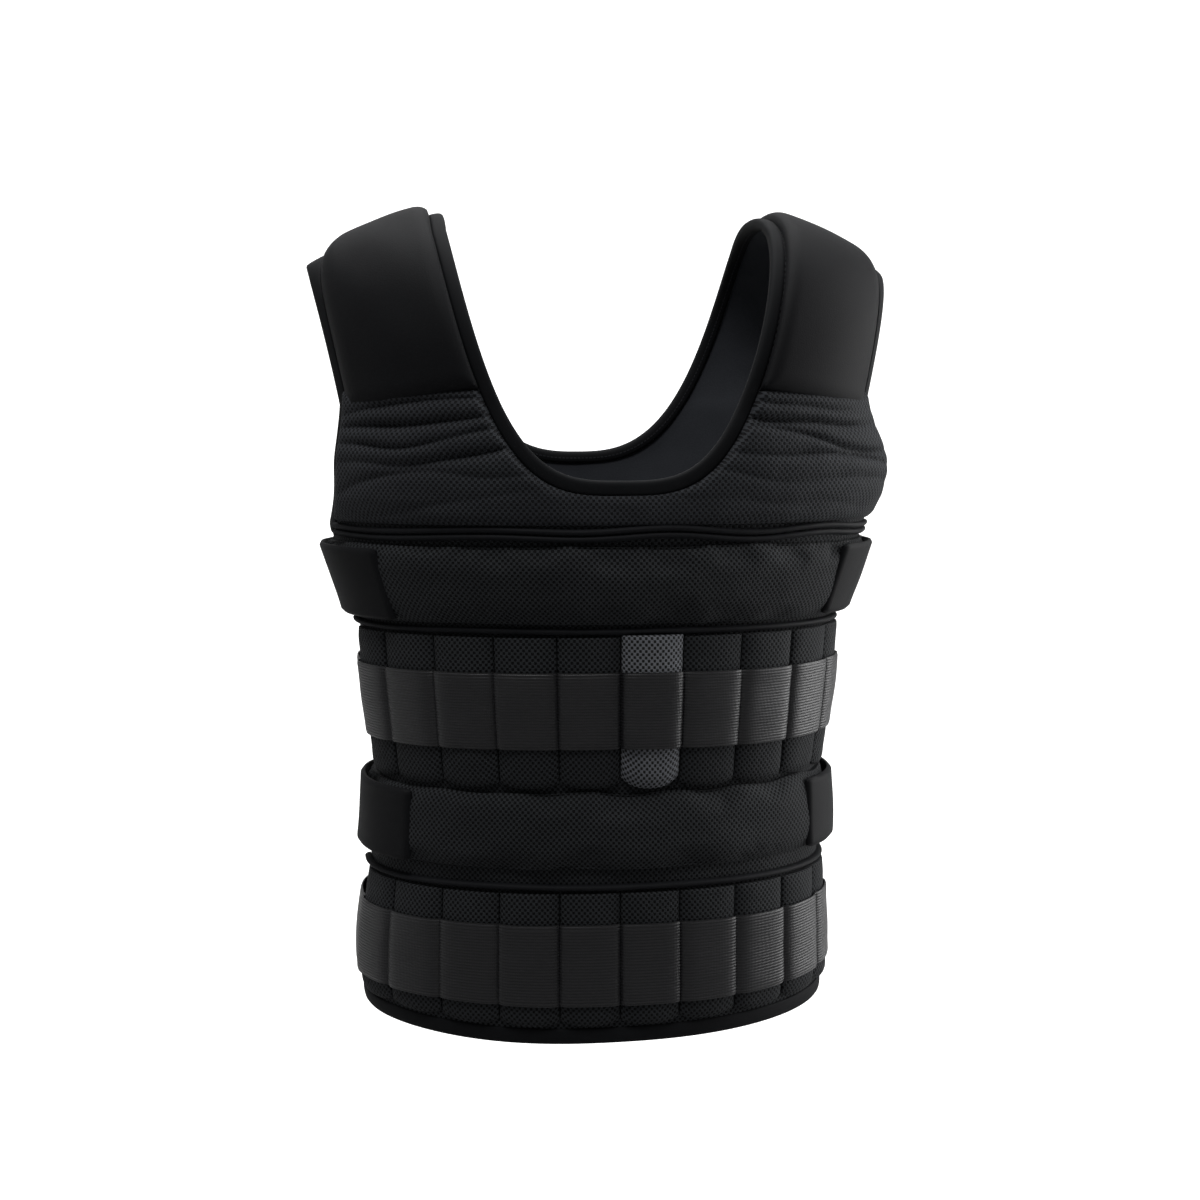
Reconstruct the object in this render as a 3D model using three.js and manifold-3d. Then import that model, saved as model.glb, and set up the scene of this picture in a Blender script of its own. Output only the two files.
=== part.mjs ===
// Weighted training vest, in millimetres, +Z up, front towards -Y.
// The origin lies midway between the straps, level with the top of their undersides.

import * as THREE from "three";
import { mergeVertices } from "three/addons/utils/BufferGeometryUtils.js";
import Module from "manifold-3d";

const wasm = await Module();
wasm.setup();

// Driving sizes of the body form, which is the inner face of the cloth

const TORSO_HALF_WIDTH = 170;
const TORSO_FRONT_DEPTH = 118;
const TORSO_BACK_DEPTH = 107;
const ROUNDNESS = 2.25; // exponent of the rounded oval that each level section is
const YOKE_DROP = 135; // from the strap top down to where the chest is full
const ARCH_ROUNDNESS = 2.35; // exponent of the arch over the shoulder
const BODY_LENGTH = 587; // from the strap top's underside to the hem
const NECK_HALF_WIDTH = 118;
const NECK_STRAIGHT = 12; // how far the neck edge falls before it curves
const NECK_FRONT_DROP = 189;
const NECK_BACK_DROP = 173;
const TIP_HALF_WIDTH = 213;
const SHOULDER_SLOPE_DROP = 36; // from the neck side to the shoulder tip
const SHOULDER_SLOPE_BEND = 1.5;
const TIP_FLARE = 20; // how far a line up the strap leans out by the shoulder tip
const NECK_FLARE = 19; // what a line by the neck leans out more
const ARMHOLE_FRONT_DEPTH = 52;
const ARMHOLE_BACK_DEPTH = 50;
const ARMHOLE_BOTTOM = 221; // below the strap top

// Driving sizes of the layers

const BODY_WALL = 5; // mesh, foam and lining together
const GAP = 0.3; // between pieces that meet edge to edge
const LAYER_GAP = 0.4; // between a layer and what it lies on
const BINDING_WIDTH = 9;
const BINDING_WRAP = 1.3; // how far the tape stands off each face
const HEM_WIDTH = 11;
const PAD_THICK = 9;
const PAD_EDGE = 2.5;
const PAD_INNER_MARGIN = 12; // from the neck edge
const PAD_OUTER_MARGIN = 11; // from the armhole edge
const PAD_RIM = 10; // width over which the pad swells from its edge
const COVER_WALL = 2.6;
const FOLD_RISE = 3.4;
const COVER_HEIGHT = 82;
const PIPING_HEIGHT = 9;
const PIPING_THICK = 3.2;
const PIECE_SPACE = 2; // up the body, between one strip and the next
const BELT_THICK = 8;
const BELT_EDGE = 4;
const BELT_HEIGHT = 54;
const BELT_BEVEL = 7;
const TAB_THICK = 3;
const TAB_LENGTH = 84;
const TAB_INSET = 4; // from the belt's top and bottom edges
const LIP_HEIGHT = 4;
const LIP_THICK = 3;
const POCKET_WIDTH = 42.5;
const POCKET_SEAM = 1.2; // free width of the seam between two pockets
const POCKET_THICK = 4.6;
const FULL_POCKET_THICK = 7.4;
const POCKET_EDGE = 1.8;
const UPPER_POCKET_HEIGHT = 110;
const LOWER_POCKET_HEIGHT = 92;
const POCKET_MOUTH = 6; // height of the flatter top of a pocket
const POCKET_MOUTH_SWELL = 0.7; // share of the swell left at the mouth
const POCKET_BOTTOM_ROUND = 1.3; // times the pocket's thickness
const FRONT_POCKETS = 10;
const BACK_POCKETS = 8;
const FULL_POCKET = 5; // counted from the wearer's right, from 0
const BAND_HEIGHT = 55;
const BAND_WALL = 1.4;
const UPPER_BAND_INSET = 25; // below the pockets' top edge
const LOWER_BAND_INSET = 21;
const UPPER_BELT_TOP = 235; // below the strap top
const LOWER_BELT_TOP = 411;
const LIP_DROP = 4; // from a belt's lower edge to the lip
const LOWER_LIP_DROP = 12;

// Section sizes by height below the strap top, as shares of the half width and depths. Belts start where the form turns
const TORSO_SECTIONS = [
  { drop: BODY_LENGTH + HEM_WIDTH, width: 0.99, front: 1.0, back: 1.01 },
  { drop: LOWER_BELT_TOP + BELT_HEIGHT, width: 0.98, front: 0.99, back: 0.98 },
  { drop: LOWER_BELT_TOP, width: 0.97, front: 0.97, back: 0.95 },
  { drop: UPPER_BELT_TOP + BELT_HEIGHT, width: 1.04, front: 1.01, back: 1.01 },
  { drop: UPPER_BELT_TOP, width: 1.15, front: 1.08, back: 1.08 },
  { drop: 1.3 * YOKE_DROP, width: 1.2, front: 1.1, back: 1.12 },
  { drop: YOKE_DROP, width: 1.175, front: 1.09, back: 1.13 },
];

// Level folds of the chest cover, as shares of its height from the top and of the fold's rise
const CHEST_FOLDS = [
  { down: 0.0, rise: 0.35 },
  { down: 0.1, rise: 1.0 },
  { down: 0.2, rise: 0.15 },
  { down: 0.34, rise: 0.9 },
  { down: 0.46, rise: 0.3 },
  { down: 0.7, rise: 0.85 },
  { down: 1.0, rise: 0.2 },
];

// Swell of a pocket across its width, as shares of the width and of the thickness
const SWELL = [
  { across: 0, rise: 0 },
  { across: 0.25, rise: 0.85 },
  { across: 0.5, rise: 1 },
  { across: 0.75, rise: 0.85 },
  { across: 1, rise: 0 },
];

const COLOURS = {
  mesh: "#17181b",
  pad: "#141518",
  webbing: "#2c2d32",
  tape: "#1d1e22",
};

const mesh = () => new THREE.MeshStandardMaterial({ color: COLOURS.mesh, roughness: 0.85, metalness: 0 });
const smooth = () => new THREE.MeshStandardMaterial({ color: COLOURS.pad, roughness: 0.7, metalness: 0 });
const woven = () => new THREE.MeshStandardMaterial({ color: COLOURS.webbing, roughness: 0.55, metalness: 0 });
const tape = () => new THREE.MeshStandardMaterial({ color: COLOURS.tape, roughness: 0.65, metalness: 0 });

// Heights worked out from the driving sizes

const YOKE = -YOKE_DROP;
const HEM = -BODY_LENGTH;
const COVER_TOP = YOKE - PIECE_SPACE;
const COVER_BOTTOM = COVER_TOP - COVER_HEIGHT;
const PIPING_TOP = COVER_BOTTOM - PIECE_SPACE;
const ROWS = [
  { name: "upper", top: -UPPER_BELT_TOP, lip: LIP_DROP, pocket: UPPER_POCKET_HEIGHT, band: UPPER_BAND_INSET },
  { name: "lower", top: -LOWER_BELT_TOP, lip: LOWER_LIP_DROP, pocket: LOWER_POCKET_HEIGHT, band: LOWER_BAND_INSET },
];
const lipTop = (row) => row.top - BELT_HEIGHT - row.lip;
const pocketTop = (row) => lipTop(row) - LIP_HEIGHT - PIECE_SPACE;
const ON_BODY = BODY_WALL + LAYER_GAP;

// The body form

const power = (value, exponent) => Math.sign(value) * Math.abs(value) ** exponent;

function tableAt(rows, key, at, value) {
  const next = rows.findIndex((row) => row[key] >= at);
  if (next === 0) return rows[0][value];
  if (next < 0) return rows[rows.length - 1][value];
  const [a, b] = [rows[next - 1], rows[next]];
  return THREE.MathUtils.mapLinear(at, a[key], b[key], a[value], b[value]);
}

const SECTIONS = [...TORSO_SECTIONS].reverse();

function sectionAt(z) {
  return {
    width: tableAt(SECTIONS, "drop", -z, "width") * TORSO_HALF_WIDTH,
    front: tableAt(SECTIONS, "drop", -z, "front") * TORSO_FRONT_DEPTH,
    back: tableAt(SECTIONS, "drop", -z, "back") * TORSO_BACK_DEPTH,
  };
}

function shoulderHeight(x) {
  const out = Math.max(0, Math.abs(x) - NECK_HALF_WIDTH) / (TIP_HALF_WIDTH - NECK_HALF_WIDTH);
  return -SHOULDER_SLOPE_DROP * out ** SHOULDER_SLOPE_BEND;
}

function flare(x, width) {
  const share = Math.abs(x) / width;
  return Math.sign(x) * share * (TIP_FLARE + 4 * NECK_FLARE * (1 - share));
}

// A point on the form grown by off. turn is the angle round the body, 0 at the front and a quarter turn at +X.
// z is the height below the yoke; above it, lift goes from 0 at the yoke to a quarter turn on the shoulder line.
function onBody(turn, z, off, lift = 0) {
  const { width, front, back } = sectionAt(z);
  const isFront = Math.cos(turn) > 0;
  const depth = (isFront ? front : back) + off;
  const x = (width + off) * power(Math.sin(turn), 2 / ROUNDNESS);
  const y = -depth * power(Math.cos(turn), 2 / ROUNDNESS);
  const rise = power(Math.sin(lift), 2 / ARCH_ROUNDNESS);
  const draw = power(Math.cos(lift), 2 / ARCH_ROUNDNESS);
  const outX = x + flare(x, width + off) * rise;
  const top = shoulderHeight(outX) + off;
  return new THREE.Vector3(outX, y * draw, z + (top - z) * rise);
}

// Angles round the body, from distances along a tape laid over the front

const TAPE_STEPS = 720;
const TAPE_HEIGHT = -LOWER_BELT_TOP;

function tapeTable() {
  const rows = [{ length: 0, turn: 0 }];
  let last = onBody(0, TAPE_HEIGHT, ON_BODY);
  for (let i = 1; i <= TAPE_STEPS; i++) {
    const turn = ((i / TAPE_STEPS) * Math.PI) / 2;
    const point = onBody(turn, TAPE_HEIGHT, ON_BODY);
    rows.push({ length: rows[i - 1].length + point.distanceTo(last), turn });
    last = point;
  }
  return rows;
}

const TAPE = tapeTable();
const SIDE = TAPE[TAPE_STEPS].length;
const turnAt = (length) => Math.sign(length) * tableAt(TAPE, "length", Math.abs(length), "turn");

const spaced = (from, to, step) => {
  const count = Math.max(1, Math.round((to - from) / step));
  return Array.from({ length: count + 1 }, (_, i) => THREE.MathUtils.lerp(from, to, i / count));
};

// Where every layer has a corner, as distances from one side over the front to the other
const ROW_HALF = (FRONT_POCKETS * POCKET_WIDTH) / 2;
const layerSteps = (step) => [
  ...spaced(-SIDE, -ROW_HALF, step).slice(0, -1),
  ...spaced(-ROW_HALF, ROW_HALF, step),
  ...spaced(ROW_HALF, SIDE, step).slice(1),
];
const COARSE = POCKET_WIDTH / 2;
const FINE = POCKET_WIDTH / 4;
const NEAR = 1; // corners nearer than this along a strip are left out
const within = (lengths, from, to) => [from, ...lengths.filter((l) => l > from + NEAR && l < to - NEAR), to];

// A place round the body is a distance over the front, or the same place mirrored to the back
const turnOf = (length, back = false) => (back ? Math.PI - turnAt(length) : turnAt(length));
const ringPlaces = (step) => {
  const front = layerSteps(step).map((length) => ({ length, back: false }));
  const back = layerSteps(step).map((length) => ({ length: -length, back: true }));
  return [...front.slice(0, -1), ...back.slice(0, -1)];
};

// Heights where a strip has corners: those asked for, and each row of the section table between its ends
function heights(...asked) {
  const [bottom, top] = [Math.min(...asked), Math.max(...asked)];
  const rows = TORSO_SECTIONS.map((row) => -row.drop);
  const between = rows.filter((z) => z > bottom && z < top && asked.every((a) => Math.abs(a - z) > NEAR));
  return [...asked, ...between].sort((a, b) => a - b);
}

// Closed body between an outer and an inner sheet, each a list of rows from the bottom up
function solidBetween(inner, outer, ring = false) {
  const rows = inner.length;
  const columns = inner[0].length;
  const offset = rows * columns;
  const index = [];
  const face = (a, b, c, d) => index.push(a, b, c, a, c, d);
  const at = (row, column) => row * columns + (column % columns);
  const last = ring ? columns : columns - 1;
  for (let r = 0; r < rows - 1; r++) {
    for (let c = 0; c < last; c++) {
      face(at(r, c), at(r, c + 1), at(r + 1, c + 1), at(r + 1, c));
      face(offset + at(r, c), offset + at(r + 1, c), offset + at(r + 1, c + 1), offset + at(r, c + 1));
    }
  }
  for (let c = 0; c < last; c++) {
    face(at(0, c), offset + at(0, c), offset + at(0, c + 1), at(0, c + 1));
    face(at(rows - 1, c), at(rows - 1, c + 1), offset + at(rows - 1, c + 1), offset + at(rows - 1, c));
  }
  for (let r = 0; r < rows - 1 && !ring; r++) {
    const end = columns - 1;
    face(at(r, 0), at(r + 1, 0), offset + at(r + 1, 0), offset + at(r, 0));
    face(at(r, end), offset + at(r, end), offset + at(r + 1, end), at(r + 1, end));
  }
  const geometry = new THREE.BufferGeometry().setFromPoints([...outer.flat(), ...inner.flat()]);
  geometry.setIndex(index);
  return geometry;
}

// A strip on the body: places round it, heights, and how far its two faces lie off the form at each
function strip(places, rows, under, over, ring = false) {
  const sheet = (off) =>
    rows.map((z, r) => places.map((place) => onBody(turnOf(place.length, place.back), z, off(place, r, z))));
  return solidBetween(sheet(under), sheet(over), ring);
}

// Booleans

const WELD = 1e-4; // corners nearer than this are one
const CUT_WELD = 0.002; // the same after a cut, so that it leaves no splinters

// The corners and faces of a geometry with near corners joined and collapsed faces left out
function welded(geometry, near) {
  const bare = geometry.clone();
  bare.deleteAttribute("normal");
  bare.deleteAttribute("uv");
  const merged = mergeVertices(bare, near);
  const faces = [];
  for (let i = 0; i < merged.index.count; i += 3) {
    const [a, b, c] = [0, 1, 2].map((k) => merged.index.getX(i + k));
    if (a !== b && b !== c && c !== a) faces.push(a, b, c);
  }
  return merged.setIndex(faces);
}

function toSolid(geometry) {
  const { attributes, index } = welded(geometry, WELD);
  const vertProperties = new Float32Array(attributes.position.array);
  return new wasm.Manifold(new wasm.Mesh({ numProp: 3, vertProperties, triVerts: new Uint32Array(index.array) }));
}

function toGeometry(solid) {
  const { vertProperties, triVerts } = solid.getMesh();
  const geometry = new THREE.BufferGeometry();
  geometry.setAttribute("position", new THREE.BufferAttribute(vertProperties, 3));
  geometry.setIndex(new THREE.BufferAttribute(triVerts, 1));
  return welded(geometry, CUT_WELD);
}

// The whole form as a solid, closed flat at the bottom and zipped along the shoulder line

const ARCH_STEPS = 5;

function formSolid(off, bottom) {
  const places = ringPlaces(COARSE);
  const turns = places.map((place) => turnOf(place.length, place.back));
  const rows = heights(bottom, YOKE).map((z) => turns.map((turn) => onBody(turn, z, off)));
  for (let i = 1; i <= ARCH_STEPS; i++) {
    const lift = ((i / ARCH_STEPS) * Math.PI) / 2;
    rows.push(turns.map((turn) => onBody(turn, YOKE, off, lift)));
  }
  const columns = turns.length;
  const index = [];
  const middle = rows.length * columns;
  for (let c = 0; c < columns; c++) {
    const next = (c + 1) % columns;
    index.push(middle, next, c);
    for (let r = 0; r < rows.length - 1; r++) {
      const [low, high] = [r * columns, (r + 1) * columns];
      index.push(low + c, low + next, high + next, low + c, high + next, high + c);
    }
  }
  const centre = new THREE.Vector3(0, 0, bottom);
  const geometry = new THREE.BufferGeometry().setFromPoints([...rows.flat(), centre]);
  geometry.setIndex(index);
  return toSolid(geometry);
}

const shell = (under, over, bottom) => formSolid(over, bottom).subtract(formSolid(under, bottom - HEM_WIDTH));

// Cutters for the neck and the armholes, each grown by a margin

const CUT_REACH = 2 * TORSO_HALF_WIDTH;
const NECK_STEPS = 8;
const NECK_FRONT = { drop: NECK_FRONT_DROP, fall: 1.1, close: 0.3 };
const NECK_BACK = { drop: NECK_BACK_DROP, fall: 1.4, close: 0.36 };

const neckWidthAt = ({ drop, fall, close }, down, margin) => {
  const share = THREE.MathUtils.clamp((down - NECK_STRAIGHT) / (drop + margin - NECK_STRAIGHT), 0, 1);
  return (NECK_HALF_WIDTH + margin) * (1 - share ** fall) ** close;
};

function neckBlock(side, margin) {
  const half = NECK_HALF_WIDTH + margin;
  const right = [new THREE.Vector2(half, CUT_REACH)];
  for (let i = 0; i <= NECK_STEPS; i++) {
    const share = Math.sin(((i / NECK_STEPS) * Math.PI) / 2);
    const down = THREE.MathUtils.lerp(NECK_STRAIGHT, side.drop + margin, share);
    right.push(new THREE.Vector2(neckWidthAt(side, down, margin), -down));
  }
  const left = right.slice(0, -1).reverse().map((p) => new THREE.Vector2(-p.x, p.y));
  const block = new THREE.ExtrudeGeometry(new THREE.Shape([...right, ...left]), {
    depth: CUT_REACH,
    bevelEnabled: false,
  });
  return block.rotateX(Math.PI / 2);
}

function neckCutter(margin) {
  const front = toSolid(neckBlock(NECK_FRONT, margin).translate(0, GAP, 0));
  const back = toSolid(neckBlock(NECK_BACK, margin).translate(0, CUT_REACH - GAP, 0));
  return front.add(back);
}

const ARMHOLE_STEPS = 24;
const ARMHOLE_TOP = shoulderHeight(TIP_HALF_WIDTH) + BODY_WALL / 2;
const ARMHOLE_START = NECK_HALF_WIDTH / 2;
const SIDEWAYS = new THREE.Matrix4().makeBasis(
  new THREE.Vector3(0, 1, 0),
  new THREE.Vector3(0, 0, 1),
  new THREE.Vector3(1, 0, 0),
);

function armholeCutter(margin, side) {
  const points = Array.from({ length: ARMHOLE_STEPS }, (_, i) => {
    const angle = (i / ARMHOLE_STEPS) * 2 * Math.PI;
    const across = power(Math.cos(angle), 2 / ARCH_ROUNDNESS);
    const up = power(Math.sin(angle), 2 / ARCH_ROUNDNESS);
    const depth = (across < 0 ? ARMHOLE_FRONT_DEPTH : ARMHOLE_BACK_DEPTH) + margin;
    const height = (up > 0 ? ARMHOLE_TOP + YOKE_DROP : ARMHOLE_BOTTOM - YOKE_DROP) + margin;
    return new THREE.Vector2(across * depth, YOKE + up * height);
  });
  const block = new THREE.ExtrudeGeometry(new THREE.Shape(points), { depth: CUT_REACH, bevelEnabled: false });
  const start = side > 0 ? ARMHOLE_START : -ARMHOLE_START - CUT_REACH;
  return toSolid(block.applyMatrix4(SIDEWAYS).translate(start, 0, 0));
}

const openings = (margin) => [neckCutter(margin), armholeCutter(margin, 1), armholeCutter(margin, -1)];
const cutOpenings = (solid, margin) => openings(margin).reduce((left, cutter) => left.subtract(cutter), solid);

// Half of space on one side of the shoulder line and side seams
function halfBlock(side) {
  const size = 4 * CUT_REACH;
  const block = new THREE.BoxGeometry(size, size, size);
  return toSolid(block.translate(0, side * (size / 2 + GAP / 2), 0));
}

// The vest

const vest = new THREE.Group();

function addPiece(name, geometry, material) {
  geometry.computeVertexNormals();
  const piece = new THREE.Mesh(geometry, material);
  piece.name = name;
  vest.add(piece);
}

const SIDES = [
  { name: "left", sign: 1 },
  { name: "right", sign: -1 },
];

function addPanels() {
  const cloth = shell(0, BODY_WALL, HEM + HEM_WIDTH + GAP);
  const cut = cutOpenings(cloth, BINDING_WIDTH + GAP);
  addPiece("front_panel", toGeometry(cut.intersect(halfBlock(-1))), mesh());
  addPiece("back_panel", toGeometry(cut.intersect(halfBlock(1))), mesh());
}

function addBindings() {
  const cloth = shell(-BINDING_WRAP, BODY_WALL + BINDING_WRAP, -ARMHOLE_BOTTOM - 2 * BINDING_WIDTH);
  const neck = neckCutter(BINDING_WIDTH).subtract(neckCutter(0));
  addPiece("neck_binding", toGeometry(cloth.intersect(neck)), tape());
  for (const { name, sign } of SIDES) {
    const edge = armholeCutter(BINDING_WIDTH, sign).subtract(armholeCutter(0, sign));
    addPiece(`armhole_binding_${name}`, toGeometry(cloth.intersect(edge)), tape());
  }
  const under = () => -BINDING_WRAP;
  const over = () => BODY_WALL + BINDING_WRAP;
  addPiece("hem_binding", strip(ringPlaces(COARSE), [HEM, HEM + HEM_WIDTH], under, over, true), tape());
}

const swellAt = (across) => tableAt(SWELL, "across", across, "rise");

// Distance over the front at which the form, at the yoke, has a given half width
function lengthAtWidth(x) {
  const row = TAPE.find(({ turn }) => onBody(turn, YOKE, BODY_WALL).x >= x);
  return row.length;
}

function armholeWidthAtYoke() {
  const row = TAPE.find(({ turn }) => -onBody(turn, YOKE, BODY_WALL).y <= ARMHOLE_FRONT_DEPTH);
  return onBody(row.turn, YOKE, BODY_WALL).x;
}

function addShoulderPads() {
  const from = lengthAtWidth(neckWidthAt(NECK_FRONT, YOKE_DROP, 0) + PAD_INNER_MARGIN);
  const to = lengthAtWidth(armholeWidthAtYoke() - PAD_OUTER_MARGIN);
  const places = [...layerSteps(COARSE), from + PAD_RIM, to - PAD_RIM].sort((a, b) => a - b);
  const lengths = within(places, from, to);
  const liftAt = (height) => Math.asin((height / YOKE_DROP) ** (ARCH_ROUNDNESS / 2));
  const start = liftAt(PIECE_SPACE);
  const rim = liftAt(PIECE_SPACE + PAD_RIM);
  const lifts = [start, rim, ...spaced(0, Math.PI / 2, Math.PI / 2 / ARCH_STEPS).slice(1, -1)];
  const front = lifts.map((lift) => ({ lift, back: false }));
  const back = lifts.map((lift) => ({ lift, back: true })).reverse();
  const rows = [...front, { lift: Math.PI / 2, back: false }, ...back];
  const rise = (length, lift) => {
    const edge = Math.min((length - from) / PAD_RIM, (to - length) / PAD_RIM, (lift - start) / (rim - start), 1);
    return PAD_EDGE + (PAD_THICK - PAD_EDGE) * Math.sqrt(Math.max(0, edge));
  };
  for (const { name, sign } of SIDES) {
    const columns = sign > 0 ? lengths : lengths.map((length) => -length).reverse();
    const sheet = (off) =>
      rows.map(({ lift, back }) =>
        columns.map((length) => onBody(turnOf(length, back), YOKE, off(Math.abs(length), lift), lift)),
      );
    const pad = solidBetween(sheet(() => ON_BODY), sheet((length, lift) => ON_BODY + rise(length, lift)));
    addPiece(`shoulder_pad_${name}`, toGeometry(cutOpenings(toSolid(pad), BINDING_WIDTH + GAP)), smooth());
  }
}

const frontPlaces = (lengths) => lengths.map((length) => ({ length, back: false }));

function addChest() {
  const places = frontPlaces(layerSteps(COARSE));
  const rows = heights(...CHEST_FOLDS.map((fold) => COVER_TOP - fold.down * COVER_HEIGHT));
  const fold = (z) => tableAt(CHEST_FOLDS, "down", (COVER_TOP - z) / COVER_HEIGHT, "rise") * FOLD_RISE;
  const cover = strip(places, rows, () => ON_BODY, (_, r, z) => ON_BODY + COVER_WALL + fold(z));
  addPiece("chest_cover", toGeometry(cutOpenings(toSolid(cover), BINDING_WIDTH + 2 * GAP)), mesh());

  const ridges = [1, 3, 2, 3, 1].map((share) => (share / 3) * PIPING_THICK);
  const lines = ridges.map((_, i) => PIPING_TOP - PIPING_HEIGHT + (i / 4) * PIPING_HEIGHT);
  const piping = strip(places, lines, () => ON_BODY, (_, r) => ON_BODY + ridges[r]);
  addPiece("chest_piping", toGeometry(cutOpenings(toSolid(piping), BINDING_WIDTH + 2 * GAP)), tape());
}

function addBelt({ name, top }) {
  const bottom = top - BELT_HEIGHT;
  const rows = heights(bottom, bottom + BELT_BEVEL, top - BELT_BEVEL, top);
  const over = (_, r) => ON_BODY + (r === 0 || r === rows.length - 1 ? BELT_EDGE : BELT_THICK);
  const lengths = layerSteps(COARSE).slice(1, -1);
  const reach = SIDE - GAP;
  const front = [-reach, ...lengths, reach].map((length) => ({ length, back: false }));
  const back = front.map(({ length }) => ({ length: -length, back: true }));
  addPiece(`${name}_belt_front`, strip(front, rows, () => ON_BODY, over), mesh());
  addPiece(`${name}_belt_back`, strip(back, rows, () => ON_BODY, over), mesh());

  const tabRows = heights(bottom + TAB_INSET, top - TAB_INSET);
  const tabUnder = ON_BODY + BELT_THICK + LAYER_GAP;
  const half = TAB_LENGTH / 2;
  const near = within(layerSteps(COARSE), SIDE - half, SIDE);
  for (const { name: side, sign } of SIDES) {
    const ahead = near.map((length) => ({ length: sign * length, back: false }));
    const behind = near.slice(0, -1).map((length) => ({ length: sign * length, back: true }));
    const places = sign > 0 ? [...ahead, ...behind.reverse()] : [...behind, ...ahead.reverse()];
    addPiece(`${name}_belt_tab_${side}`, strip(places, tabRows, () => tabUnder, () => tabUnder + TAB_THICK), tape());
  }
}

// How far the pockets' outer face lies off the body at a place, at full height
function pocketRise({ length, back }, row) {
  const count = back ? BACK_POCKETS : FRONT_POCKETS;
  const at = length / POCKET_WIDTH + count / 2;
  if (at < 0 || at > count) return POCKET_EDGE;
  const nearest = Math.round(at);
  const number = Math.abs(at - nearest) < 1e-6 ? nearest : Math.floor(at);
  return pocketSwell(at - number, pocketThick(row, back, number));
}

const pocketThick = (row, back, number) =>
  row === "upper" && !back && number === FULL_POCKET ? FULL_POCKET_THICK : POCKET_THICK;
const pocketSwell = (across, thick) => POCKET_EDGE + (thick - POCKET_EDGE) * swellAt(across);

function addPockets(row) {
  const { name, pocket } = row;
  const top = pocketTop(row);
  for (const back of [false, true]) {
    const count = back ? BACK_POCKETS : FRONT_POCKETS;
    for (let number = 0; number < count; number++) {
      const thick = pocketThick(name, back, number);
      const left = (number - count / 2) * POCKET_WIDTH;
      const lengths = SWELL.map(({ across }) =>
        THREE.MathUtils.clamp(left + across * POCKET_WIDTH, left + POCKET_SEAM / 2, left + POCKET_WIDTH - POCKET_SEAM / 2),
      );
      addPocket(`${name}_${back ? "back" : "front"}_pocket_${number + 1}`, lengths, back, top, pocket, thick);
    }
  }
}

function addPocket(name, lengths, back, top, height, thick) {
  const bottom = top - height;
  const round = thick * POCKET_BOTTOM_ROUND;
  const rows = heights(bottom, bottom + 2 * round, top - POCKET_MOUTH, top);
  const columns = back ? [...lengths].reverse() : lengths;
  const middle = (lengths.length - 1) / 2;
  const level = (z, c) => (z === bottom ? z + round * Math.abs(c / middle - 1) ** 2 : z);
  const sheet = (off) =>
    rows.map((z, r) => columns.map((length, c) => onBody(turnOf(length, back), level(z, c), off(r, c))));
  const rise = (r, c) => {
    const full = pocketSwell(SWELL[c].across, thick);
    if (r === 0) return POCKET_EDGE;
    return r === rows.length - 1 ? POCKET_EDGE + (full - POCKET_EDGE) * POCKET_MOUTH_SWELL : full;
  };
  const solid = solidBetween(sheet(() => ON_BODY), sheet((r, c) => ON_BODY + rise(r, c)));
  addPiece(name, solid, mesh());
}

function addBand(row) {
  const top = pocketTop(row) - row.band;
  const under = (place) => ON_BODY + pocketRise(place, row.name) + LAYER_GAP;
  const over = (place) => under(place) + BAND_WALL;
  const band = strip(ringPlaces(FINE), heights(top - BAND_HEIGHT, top), under, over, true);
  addPiece(`${row.name}_band`, band, woven());
}

function addLip(row) {
  const top = lipTop(row);
  const rows = heights(top - LIP_HEIGHT, top);
  const lip = strip(frontPlaces(layerSteps(COARSE)), rows, () => ON_BODY, () => ON_BODY + LIP_THICK);
  addPiece(`${row.name}_pocket_lip`, lip, tape());
}

addPanels();
addBindings();
addShoulderPads();
addChest();
for (const row of ROWS) {
  addBelt(row);
  addLip(row);
  addPockets(row);
  addBand(row);
}

export default vest;
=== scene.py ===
# %% [markdown]
# # A weighted training vest
# The vest is worn cloth: a padded body of air mesh, smooth pads over the shoulders, two padded belts and two rows
# of small weight pockets under wide webbing. The CAD model gives the frame and the sizes. This script dresses
# it, piece by piece, with meshes and materials that are all worked out from a few named sizes.

# %% The frame
import math
import bmesh
import bpy
import numpy as np
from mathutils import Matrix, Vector


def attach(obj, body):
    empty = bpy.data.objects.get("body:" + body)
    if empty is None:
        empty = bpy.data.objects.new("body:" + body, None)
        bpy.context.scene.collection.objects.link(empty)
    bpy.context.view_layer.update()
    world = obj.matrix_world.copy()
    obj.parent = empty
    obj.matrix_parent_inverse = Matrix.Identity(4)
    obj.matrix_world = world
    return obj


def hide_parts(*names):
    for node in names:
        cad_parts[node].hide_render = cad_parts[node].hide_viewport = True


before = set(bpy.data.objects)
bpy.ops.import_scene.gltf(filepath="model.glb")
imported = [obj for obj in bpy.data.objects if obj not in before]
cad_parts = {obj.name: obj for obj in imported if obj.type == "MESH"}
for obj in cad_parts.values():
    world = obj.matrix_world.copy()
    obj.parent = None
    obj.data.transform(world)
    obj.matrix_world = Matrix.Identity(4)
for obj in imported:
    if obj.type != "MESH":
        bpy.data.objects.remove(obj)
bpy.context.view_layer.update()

MM = 0.001
print("CAD nodes:", len(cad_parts))


def placed(name, data):
    """A new object with that data, linked into the scene."""
    thing = bpy.data.objects.new(name, data)
    bpy.context.collection.objects.link(thing)
    return thing

# %% [markdown]
# ## The body form
# A vest has no stiff shape of its own: it takes that of the chest in it. So one function gives the place of any
# point of the cloth, from a distance round the body, a height, and how far the layer lies off the body. Every
# piece is a grid of such points, which is why belts, pockets and bands all follow the same curves without gaps.
# Level sections are rounded ovals, whose sizes come from a table, and an arch carries the form over the shoulder.

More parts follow.
